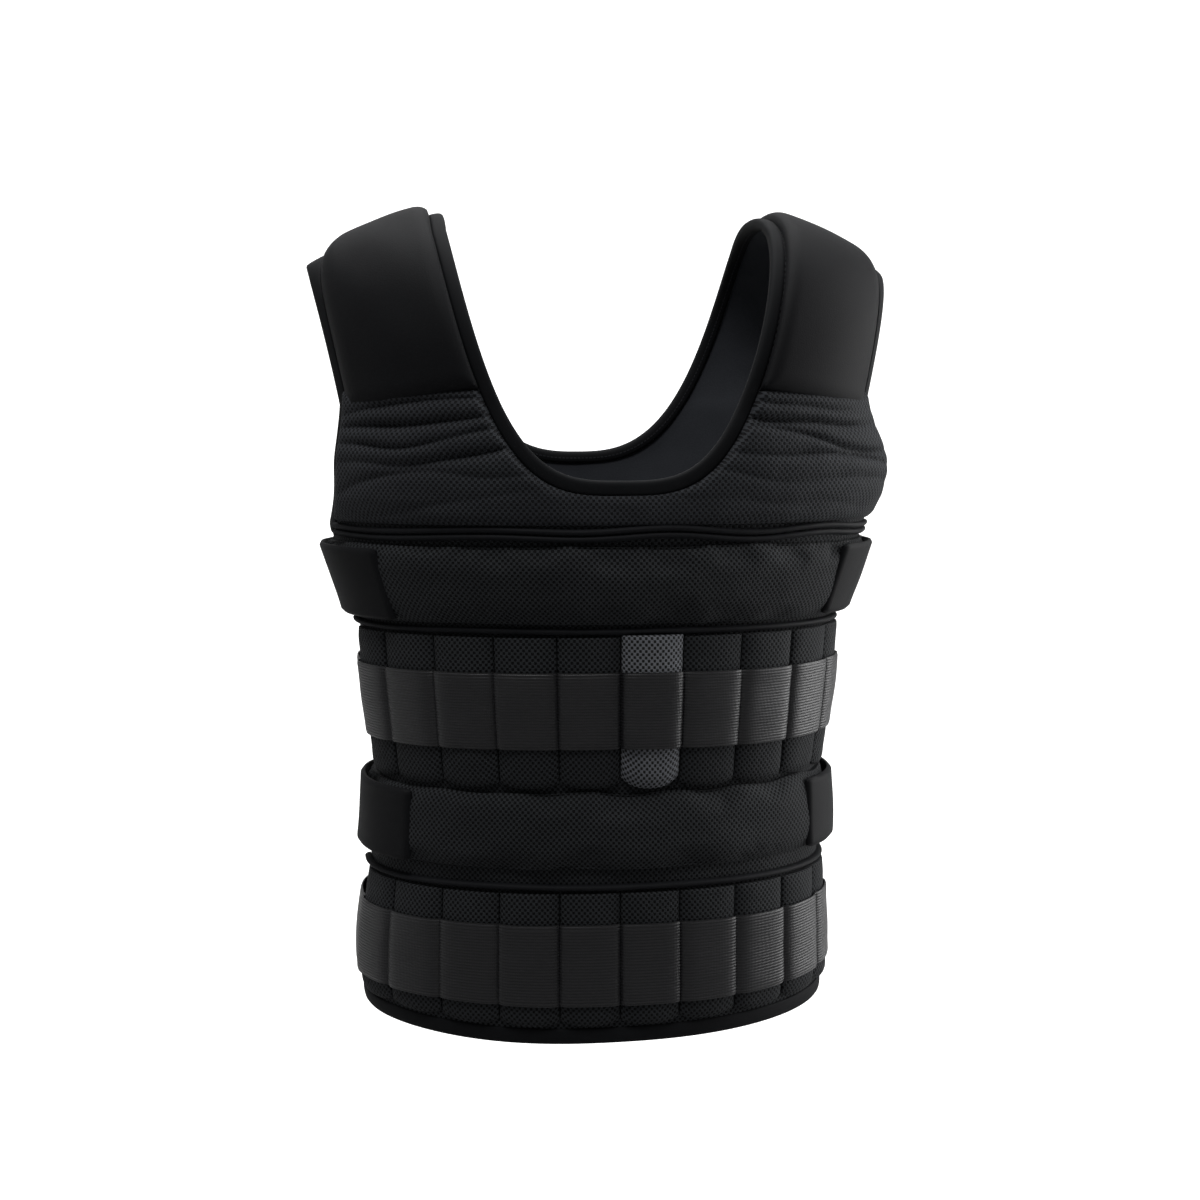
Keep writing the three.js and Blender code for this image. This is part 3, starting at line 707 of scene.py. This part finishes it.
def strap_limits(rise, off, front):
    """x of the pad's two edges at each rise, clear of the tapes."""
    x = np.linspace(NECK_HALF * 0.6, TIP_HALF + 8, 500)
    points = strap_point(x[None, :], rise[:, None], off, front)
    free = ~(in_neck(points, PAD_MARGIN) | in_armhole(points, PAD_MARGIN))
    first = x[free.argmax(1)]
    last = x[len(x) - 1 - free[:, ::-1].argmax(1)]
    return first, last


def rounded_step(distance, rim):
    inside = np.clip(distance / rim, 0, 1)
    return np.sqrt(1 - (1 - inside) ** 2)


def pad_side(front, across):
    """Grid of one half of the pad, from its lower edge to the shoulder line: x and rise."""
    below = np.linspace(-0.06, 0.0, 12)[:-1]
    dense = np.concatenate([below, np.sin(np.linspace(0, math.pi / 2, 240)) ** (2 / ARCH)])
    order = np.arange(len(dense))
    kernel = np.hanning(33)
    kernel /= kernel.sum()
    first, last = (np.convolve(np.pad(edge, 16, mode="edge"), kernel, mode="valid")
                   for edge in strap_limits(dense, ON_BODY, front))
    columns = []
    for share in across:
        x = first + (last - first) * share
        points = strap_point(x, dense, ON_BODY, front)
        bottom = YOKE + PAD_BOTTOM_IN + (PAD_BOTTOM_OUT - PAD_BOTTOM_IN) * share + (0 if front else PAD_BACK_UP)
        run = run_along(points)
        begin = np.interp(np.interp(bottom, points[:, 2], order), order, run)
        at = np.interp(np.linspace(begin, run[-1], PAD_ROWS), run, order)
        columns.append(np.stack([np.interp(at, order, x), np.interp(at, order, dense)], -1))
    return np.stack(columns, 1)


def pad_layer(front, back, off):
    """Points of the whole pad, up the front and down the back, off the body by off."""
    return np.concatenate([strap_point(front[..., 0], front[..., 1], off[:len(front)], True),
                           strap_point(back[..., 0], back[..., 1], off[len(front):], False)])


def pad_grid(seed):
    even = np.linspace(0, 1, PAD_COLUMNS)
    across = (1 - np.cos(even * math.pi)) / 2 * 0.5 + even * 0.5
    front, back = pad_side(True, across), pad_side(False, across)[::-1][1:]
    base = pad_layer(front, back, np.full((len(front) + len(back), 1), ON_BODY))
    run_across = np.pad(np.cumsum(np.linalg.norm(np.diff(base, axis=1), axis=2), 1), ((0, 0), (1, 0)))
    run_up = np.pad(np.cumsum(np.linalg.norm(np.diff(base, axis=0), axis=2), 0), ((1, 0), (0, 0)))
    edge = np.minimum(np.minimum(run_across, run_across[:, -1:] - run_across),
                      np.minimum(run_up, run_up[-1:] - run_up))
    swell = PAD_EDGE + (PAD_THICK - PAD_EDGE) * rounded_step(edge, PAD_RIM)
    swell += 0.5 * wrinkle(run_across, run_up, seed, 55) * np.clip(edge / PAD_RIM, 0, 1)
    return pad_layer(front, back, ON_BODY + swell), base


for side, seed in (("left", 21), ("right", 22)):
    top, base = pad_grid(seed)
    if side == "right":
        top, base = mirrored(top), mirrored(base)
    pad = make_slab(f"shoulder_pad_{side}_cloth", top, base, PAD_CLOTH, (f"shoulder_pad_{side}",), "pad")
print("pad across at the top, mm:", np.round(np.ptp(top[PAD_ROWS, :, 0]), 1))

# %% [markdown]
# ## Letting cloth settle
# Dents drawn by hand look too even. So the belts' padded cloth is let settle by a cloth simulation: the grid is
# pinned along its border, the rest shape is cut a little too large for its place, a slight pressure from inside
# stands for the foam, and the body under it is a collider. The cloth then buckles where it must, as a real one does.

# %% Cloth simulation on a grid
CUT_LARGER = np.array([1.04, 1.04, 1.08])
FOAM_PRESSURE, SETTLE_FRAMES = 2.5, 24
MOST_MOVE = 14.0  # a point that goes further stays where it was


def plain_grid(name, grid):
    mesh = bpy.data.meshes.new(name)
    ids, _ = grid_faces(*grid.shape[:2], False)
    mesh.from_pydata((grid.reshape(-1, 3) * MM).tolist(), [], ids.tolist())
    return placed(name, mesh)


def settled(grid, base):
    """The grid after its cloth, cut larger, has found its place over the base."""
    cloth_piece, body_piece = plain_grid("settling", grid), plain_grid("settling_base", base)
    rows, columns = grid.shape[:2]
    index = np.arange(rows * columns).reshape(rows, columns)
    border = np.unique(np.concatenate([index[0], index[-1], index[:, 0], index[:, -1]]))
    cloth_piece.vertex_groups.new(name="sewn").add(border.tolist(), 1.0, "REPLACE")
    cloth_piece.shape_key_add(name="placed")
    key = cloth_piece.shape_key_add(name="cut")
    flat = grid.reshape(-1, 3)
    middle = flat.mean(0)
    key.data.foreach_set("co", (((flat - middle) * CUT_LARGER + middle) * MM).reshape(-1))
    body_piece.modifiers.new("collide", "COLLISION")
    body_piece.collision.thickness_outer = 0.0008
    simulation = cloth_piece.modifiers.new("cloth", "CLOTH")
    values = simulation.settings
    values.quality, values.mass = 6, 0.12
    values.tension_stiffness = values.compression_stiffness = 12
    values.shear_stiffness, values.bending_stiffness = 4, 0.08
    values.air_damping = 4
    values.vertex_group_mass = "sewn"
    values.rest_shape_key = cloth_piece.data.shape_keys.key_blocks["cut"]
    values.use_pressure, values.uniform_pressure_force = True, FOAM_PRESSURE
    values.effector_weights.gravity = 0
    simulation.collision_settings.distance_min = 0.001
    simulation.point_cache.frame_start, simulation.point_cache.frame_end = 1, SETTLE_FRAMES
    for frame_number in range(1, SETTLE_FRAMES + 1):
        bpy.context.scene.frame_set(frame_number)
    done = cloth_piece.evaluated_get(bpy.context.evaluated_depsgraph_get()).data
    found = np.empty(len(done.vertices) * 3)
    done.vertices.foreach_get("co", found)
    bpy.context.scene.frame_set(1)
    for piece in (cloth_piece, body_piece):
        bpy.data.objects.remove(piece)
    moved = found.reshape(grid.shape) / MM
    gap = np.linalg.norm(moved - grid, axis=2)
    print("settled, furthest move in mm:", round(float(gap.max()), 1))
    return np.where((gap < MOST_MOVE)[..., None], moved, grid)


# %% [markdown]
# ## Chest cover and piping
# Over the chest a loose layer of the mesh is caught between the pads and the belt, so it falls into level creases.
# Its grid has upright columns, each cut short by the neck or the armhole. The cloth stands full off the body, and
# sharp creases are pressed into it. They come from a table: height, depth, width, and the wave of each line. They
# are deep on the straps and almost none under the neck, where the cloth is short. Below it run two cords in a casing.

# %% Chest cover
COVER_TOP, COVER_BOTTOM = -125.0, -219.5
COVER_MARGIN = 9.8  # how far its edge keeps from the edge of an opening
CREASE_FADE = 30.0  # from the armhole, over which the creases die out
COVER_SLACK = 1.17  # how much wider the cloth is cut than its place
CREASES = [  # height, depth, half width, wave's height, wave's length, shift, share left at the middle
    (-132, 4.0, 2.6, 2.0, 150, 0.3, 0.1),
    (-143, 7.0, 2.8, 3.0, 190, 1.9, 0.1),
    (-156, 5.5, 2.4, 4.4, 136, 4.0, 0.1),
    (-169, 6.5, 3.2, 4.0, 170, 2.6, 0.1),
    (-184, 3.4, 3.4, 5.0, 144, 0.8, 0.2),
    (-203, 1.8, 5.0, 3.0, 190, 3.3, 0.5),
]


def edge_top(length, highest, margin, off=ON_BODY):
    """Greatest height that a column of cloth reaches before an opening stops it."""
    levels = np.linspace(-236.0, highest, 500)
    points = cloth(length[None, :], levels[:, None], off)
    shut = in_neck(points, margin) | in_armhole(points, margin)
    first = np.where(shut.any(0), shut.argmax(0), len(levels))
    return np.where(first > 0, levels[np.clip(first - 1, 0, len(levels) - 1)], levels[0])


def fullness(length, z, inside):
    """How far the loose cloth stands off the body. inside is the creases' share, which is 0 at the armhole."""
    out = np.clip((np.abs(length) - 25) / 60, 0, 1)
    total = 2.4 + 5.4 * out * np.clip((z + 226) / 24, 0, 1) ** 0.7
    for height, depth, wide, wave, long, shift, middle in CREASES:
        line = height - 0.12 * (np.abs(length) - 90) + wave * np.sin(length * 2 * math.pi / long + shift)
        line = line + 2.0 * wrinkle(length, height, 17, 40)
        strength = 0.35 + 0.65 * np.abs(np.sin(length * math.pi / (1.3 * long) + 2 * shift))
        strength = strength * (middle + (1 - middle) * out) * inside
        total = total - depth * strength * np.exp(-np.abs((z - line) / wide) ** 1.2)
    return np.maximum(total, 0.3)


def cover_grid():
    """The columns stand evenly along the top edge, so they are close where the edge is steep."""
    fine = np.linspace(-SIDE * 0.93, SIDE * 0.93, 2400)
    tops = edge_top(fine, COVER_TOP, COVER_MARGIN)
    fine, tops = fine[tops > COVER_BOTTOM + 5], tops[tops > COVER_BOTTOM + 5]
    tops = np.convolve(np.pad(tops, 6, mode="edge"), np.ones(13) / 13, mode="valid")
    along = run_along(np.stack([fine, tops], -1))
    even = np.linspace(0, along[-1], 441)
    length, tops = np.interp(even, along, fine), np.interp(even, along, tops)
    z = COVER_BOTTOM + (tops - COVER_BOTTOM) * np.linspace(0, 1, 90)[:, None]
    base = cloth(length, z, ON_BODY)
    past = np.clip(past_armhole(base, COVER_MARGIN), 0, None)
    edge = np.minimum(np.minimum(z - COVER_BOTTOM, tops - z), past)
    loose = rounded_step(edge, 9.0) * rounded_step(length.max() - np.abs(length) + 0.5, 9.0)
    stand = fullness(length, z, np.clip(past / CREASE_FADE, 0, 1)) + 0.5 * wrinkle(length, z, 5, 24)
    flat_uv = np.stack([np.broadcast_to(length * COVER_SLACK, z.shape), z], -1) * MM
    return cloth(length, z, ON_BODY + 0.9 + stand * loose), base, flat_uv


top, base, flat_uv = cover_grid()
# The cover's mesh carries painted light: it is a lighter copy of the air mesh.
cover = make_slab("chest_cover_cloth", top, base, LIT_CHEST_MESH, ("chest_cover",), uv=flat_uv)
print("cover wide, mm:", round(float(np.ptp(top[0, :, 0])), 1))


# %% Rounded cords and strips
def strip_grid(lengths, middle, height, rise, rows, edge=0.3):
    """A strip round the body with a rounded section. middle and rise may change along it."""
    share = rounded_spread(rows)
    z = middle + share * height / 2
    crown = np.sqrt(1 - share ** 2)
    off = ON_BODY + edge + (rise - edge) * crown
    return cloth(lengths, z, off), cloth(lengths, z, ON_BODY)


def piping():
    reach = SIDE * 0.9
    length = np.linspace(-reach, reach, 260)
    middle = -226.0 + 1.5 * np.sin(length / 17) * hill(length, 40, 150) + 1.2 * wrinkle(length, 0, 8, 60)
    tops = edge_top(length, -218.0, 10.0, ON_BODY + 2)
    free = tops > middle + 4.6
    length, middle = length[free], middle[free]
    parts, start = [], 0
    for drop in (2.4, -2.6):
        top, base = strip_grid(length, middle + drop, 4.6, 3.6 + 0.3 * wrinkle(length, 0, 9, 20), 11)
        parts.append(slab_parts(top, base, true_uv(top), start=start))
        start += len(parts[-1][0])
    points, faces, uv = (np.concatenate(part) for part in zip(*parts))
    return make_piece("chest_piping_cords", points, faces, uv, EDGE_TAPE, ("chest_piping",), "tape")


piping()

# %% [markdown]
# ## Belts
# Each belt is a long pad of air mesh with rounded edges. It isn't a stiff ring: its edges wave a little where the
# cloth below pulls, and its face has shallow dents. A smooth tab closes it at each side and stands a little proud.

# %% Padded belts
BELTS = {  # height of the upper edge, the height of its waves, and the seed of its dents
    "upper": dict(top=-235.0, waves=1.6, seed=40),
    "lower": dict(top=-411.0, waves=3.0, seed=41),
}
BELT_HEIGHT, BELT_THICK = 54.0, 9.0


def belt_grids(row, back):
    size, reach = BELTS[row], SIDE - 0.4
    seed = size["seed"] + (5 if back else 0)
    along = np.linspace(-reach, reach, 150)
    length = along + (2 * SIDE if back else 0)
    high = size["top"] + size["waves"] * wrinkle(length, 0, seed, 70)
    low = size["top"] - BELT_HEIGHT + wrinkle(length, 30, seed, 90)
    share = rounded_spread(27)
    z = (high + low) / 2 + share * (high - low) / 2
    crown = (1 - np.abs(share) ** 4) ** 0.5
    swell = 0.4 + (BELT_THICK - 1.4 + 1.3 * wrinkle(length, z, seed + 2, 36)) * crown
    off = ON_BODY + 1.0 + swell * rounded_step(reach - np.abs(along), 5.0)
    return cloth(length, z, off), cloth(length, z, ON_BODY)


for row in BELTS:
    for part in ("front", "back"):
        top, base = belt_grids(row, part == "back")
        belt = make_slab(f"{row}_belt_{part}_pad", settled(top, base), base, AIR_MESH, (f"{row}_belt_{part}",),
                         uv=true_uv(top))


# %% Side tabs
TAB_HALF, TAB_TALL, TAB_FORWARD = 66.0, 52.0, 18.0  # half its length, its height, its middle before the side seam


def tab_grid(row, sign):
    middle = BELTS[row]["top"] - 2.0 - TAB_TALL / 2
    a = np.linspace(-1, 1, 61)[None, :]
    b = np.linspace(-1, 1, 25)[:, None]
    length = sign * (SIDE - TAB_FORWARD) + a * TAB_HALF
    corner = np.clip(np.abs(a) - 0.9, 0, 1) / 0.1
    z = middle + b * TAB_TALL / 2 * (1 - 0.054 * corner ** 3)
    edge = np.minimum((1 - np.abs(a)) * TAB_HALF, (1 - np.abs(b)) * TAB_TALL / 2)
    ahead = np.clip(-sign * a, 0, 1)
    under = ON_BODY + BELT_THICK - 0.6 - 1.6 * ahead ** 3 + 0.5 * wrinkle(length, z, 60 + sign, 50)
    over = under + 1.8 + 1.8 * rounded_step(edge, 3.0)
    return cloth(length, z, over), cloth(length, z, under)


for row in BELTS:
    for side, sign in (("left", 1), ("right", -1)):
        top, base = tab_grid(row, sign)
        tab = make_slab(f"{row}_tab_{side}_cloth", top, base, PAD_CLOTH, (f"{row}_belt_tab_{side}",), "tape")

# %% [markdown]
# ## Pockets and webbing
# The weights go into upright pockets, sewn down between each two, so every pocket is a small pillow. The webbing is
# sewn over them at the same seams: it bridges each pillow and dips into each seam. One function gives the pillow's
# height across the row, and the webbing takes the same function plus its own thickness, so they can't cross.

# %% Pocket rows
POCKET, SEAM = 42.5, 1.2
ROWS = {  # top of the pockets, their height, top of the band, and the lip's top
    "upper": dict(top=-299.0, tall=110.0, band=-324.0, lip=-293.0),
    "lower": dict(top=-483.0, tall=92.0, band=-504.0, lip=-477.0),
}
BAND_TALL = 55.0
PLAIN_THICK, FULL_THICK, SEAM_THICK = 5.6, 8.2, 1.8
FULL_POCKET = 5
COUNTS = {"front": 10, "back": 8}


def pocket_thick(row, side, number):
    full = row == "upper" and side == "front" and number == FULL_POCKET
    draw = np.random.default_rng(7 * number + len(row) + len(side) * 3 + 11 * (row == "upper"))
    return FULL_THICK if full else PLAIN_THICK + draw.uniform(-0.5, 0.5)


def pillow(across, square=2.6):
    """Height of a pocket across its width, from 0 at a seam to 1 in the middle."""
    return np.clip(1 - np.abs(2 * across - 1) ** square, 0, 1) ** 0.62


def row_rise(row, lengths):
    """How far the pockets stand off the body all the way round."""
    rise = np.full(lengths.shape, SEAM_THICK)
    for side, count in COUNTS.items():
        place = lengths if side == "front" else (lengths + 4 * SIDE) % (4 * SIDE) - 2 * SIDE
        at = place / POCKET + count / 2
        for number in range(count):
            inside = (at >= number) & (at <= number + 1)
            swell = (pocket_thick(row, side, number) - SEAM_THICK) * pillow(np.clip(at - number, 0, 1), 5.0)
            rise = np.where(inside, SEAM_THICK + swell, rise)
    return rise


def pocket_grid(row, side, number):
    size = ROWS[row]
    thick = pocket_thick(row, side, number)
    full = thick == FULL_THICK
    across = (1 - np.cos(np.linspace(0, math.pi, 17))) / 2
    left = (number - COUNTS[side] / 2) * POCKET + (2 * SIDE if side == "back" else 0)
    length = left + np.clip(across * POCKET, SEAM / 2, POCKET - SEAM / 2)
    share = rounded_spread(41) * 0.5 + 0.5
    draw = np.random.default_rng(100 + number + 20 * (row == "upper") + 40 * (side == "back"))
    sag = draw.uniform(-1.2, 1.2)
    round_end = (9.0 if full else 4.0) * np.abs(2 * across - 1) ** 2.5
    bottom = size["top"] - size["tall"] + sag * 0.5 + round_end + (0 if full else 1.0)
    mouth = size["top"] + (1.5 if full else 0.0)
    z = bottom + (mouth - bottom) * share
    near_bottom = rounded_step(z - bottom, 11.0 if full else 8.0)
    near_top = 0.62 + 0.38 * rounded_step(mouth - z, 12.0)
    rise = SEAM_THICK + (thick - SEAM_THICK) * pillow(across) * near_bottom * near_top
    rise = rise + 0.45 * wrinkle(length, z, 200 + number, 22) * pillow(across) * near_bottom
    return cloth(length, z, ON_BODY + rise), cloth(length, z, ON_BODY)


for row in ROWS:
    for side, count in COUNTS.items():
        for number in range(count):
            top, base = pocket_grid(row, side, number)
            name = f"{row}_{side}_pocket_{number + 1}"
            full = pocket_thick(row, side, number) == FULL_THICK
            # The full pocket's mesh carries a painted highlight: pale threads for the shining steel plate inside.
            make_slab(f"{name}_cloth", top, base, PLATE_SHINE_MESH if full else AIR_MESH, (name,))


# %% Webbing bands
def band_grids(row):
    size = ROWS[row]
    length = np.linspace(-2 * SIDE, 2 * SIDE, 641)
    rise = row_rise(row, length)
    share = np.linspace(0, 1, 23)[:, None]
    z = size["band"] - BAND_TALL + wrinkle(length, 5, 71 + len(row), 150) + BAND_TALL * share
    edge = np.minimum(share, 1 - share) * BAND_TALL
    curl = 0.35 * (1 - rounded_step(edge, 3.0))
    under = ON_BODY + rise + 0.9 + 0.5 * wrinkle(length, z, 81, 34) * np.clip(rise / PLAIN_THICK, 0, 1)
    under = np.maximum(under, ON_BODY + rise + 0.1) - curl * 0.5
    return cloth(length, z, under + 1.3 - curl), cloth(length, z, under), length


for row in ROWS:
    top, base, length = band_grids(row)
    uv = true_uv(top)
    uv[..., 0] = length * MM
    band = make_slab(f"{row}_webbing", top, base, WEBBING, (f"{row}_band",), "webbing", ring=True, uv=uv, sharp=60)
print("round the webbing, m:", round(4 * SIDE * MM, 3))


# %% Pocket lips
for row in ROWS:
    length = np.linspace(0.4 - SIDE, SIDE - 0.4, 220)
    middle = ROWS[row]["lip"] - 2.0 + 0.9 * wrinkle(length, 0, 90 + len(row), 110)
    top, base = strip_grid(length, middle, 4.6, 4.2, 9)
    make_slab(f"{row}_lip_fold", top, base, EDGE_TAPE, (f"{row}_pocket_lip",), "tape")

# %% [markdown]
# ## Stage, light and camera
# The photograph is a studio one: a white ground, two large soft lights at the sides and a weak one high in front, so
# the front stays near black and the sides catch long soft highlights. The paper is plain and curves up. It and the
# room are pure white only to the camera, so that they don't light the black cloth from below.

# %% Stage
def pale_material():
    material = bpy.data.materials.new("pale paper")
    material.use_nodes = True
    shader = material.node_tree.nodes["Principled BSDF"]
    shader.inputs["Base Color"].default_value = (0.3, 0.3, 0.3, 1)
    shader.inputs["Roughness"].default_value = 0.9
    shader.inputs["Emission Color"].default_value = (1, 1, 1, 1)
    rays = material.node_tree.nodes.new("ShaderNodeLightPath").outputs["Is Camera Ray"]
    material.node_tree.links.new(rays, shader.inputs["Emission Strength"])
    return material


def sweep_floor():
    floor, wide, radius, behind = -0.72, 6.0, 0.8, 2.4
    bend = np.linspace(0, math.pi / 2, 16)
    curve = [(behind - radius + radius * math.sin(b), floor + radius * (1 - math.cos(b))) for b in bend]
    line = [(-4.0, floor), *curve, (behind, 4.0)]
    points = [(x, y, z) for y, z in line for x in (-wide, wide)]
    faces = [(2 * i, 2 * i + 1, 2 * i + 3, 2 * i + 2) for i in range(len(line) - 1)]
    mesh = bpy.data.meshes.new("paper sweep")
    mesh.from_pydata(points, [], faces)
    mesh.polygons.foreach_set("use_smooth", [True] * len(mesh.polygons))
    mesh.materials.append(pale_material())
    return placed("paper_sweep", mesh)


sweep_floor()


# %% Lights
def facing(direction):
    return direction.to_track_quat("-Z", "Y").to_euler()


def soft_light(name, place, aim, size, power_w, tall=None):
    data = bpy.data.lights.new(name, "AREA")
    data.shape = "RECTANGLE"
    data.size, data.size_y = size, tall or size
    data.energy = power_w
    light = placed(name, data)
    light.location = place
    light.rotation_euler = facing(Vector(aim) - Vector(place))


soft_light("right_softbox", (1.5, 0.05, -0.15), (0, 0, -0.3), 0.9, 38, 1.6)
soft_light("left_softbox", (-1.6, 0.15, -0.15), (0, 0, -0.3), 0.9, 4, 1.6)
soft_light("top_light", (-0.3, -0.9, 1.5), (0, 0, -0.25), 0.7, 28)
soft_light("ground_wash", (0, 1.0, 2.2), (0, 2.4, 0.2), 3.0, 160)
ROOM_LIGHT = 0.26
TO_CAMERA = 1.0 - ROOM_LIGHT
world = bpy.data.worlds.new("white room")
world.use_nodes = True
world.node_tree.nodes["Background"].inputs["Color"].default_value = (1, 1, 1, 1)
seen = world.node_tree.nodes.new("ShaderNodeLightPath").outputs["Is Camera Ray"]
strength = math_node(world.node_tree, "MULTIPLY_ADD", seen, TO_CAMERA, ROOM_LIGHT)
world.node_tree.links.new(strength, world.node_tree.nodes["Background"].inputs["Strength"])
bpy.context.scene.world = world
bpy.context.scene.view_settings.view_transform = "Standard"

# %% Camera
EYE_DISTANCE, EYE_HEIGHT, AIM_HEIGHT = 1.39, -0.146, -0.2848
EYE_TURN, EYE_SHIFT = math.radians(-8.0), 0.0027
forward = Vector((-math.sin(EYE_TURN), math.cos(EYE_TURN), 0))
right = Vector((math.cos(EYE_TURN), math.sin(EYE_TURN), 0))
camera_data = bpy.data.cameras.new("camera")
camera_data.sensor_width, camera_data.lens = 36.0, 54.2
camera = placed("camera", camera_data)
camera.location = -EYE_DISTANCE * forward + EYE_SHIFT * right + Vector((0, 0, EYE_HEIGHT))
aim = EYE_SHIFT * right + Vector((0, 0, AIM_HEIGHT))
camera.rotation_euler = facing(aim - camera.location)
bpy.context.scene.camera = camera
print("camera at, m:", [round(v, 3) for v in camera.location])
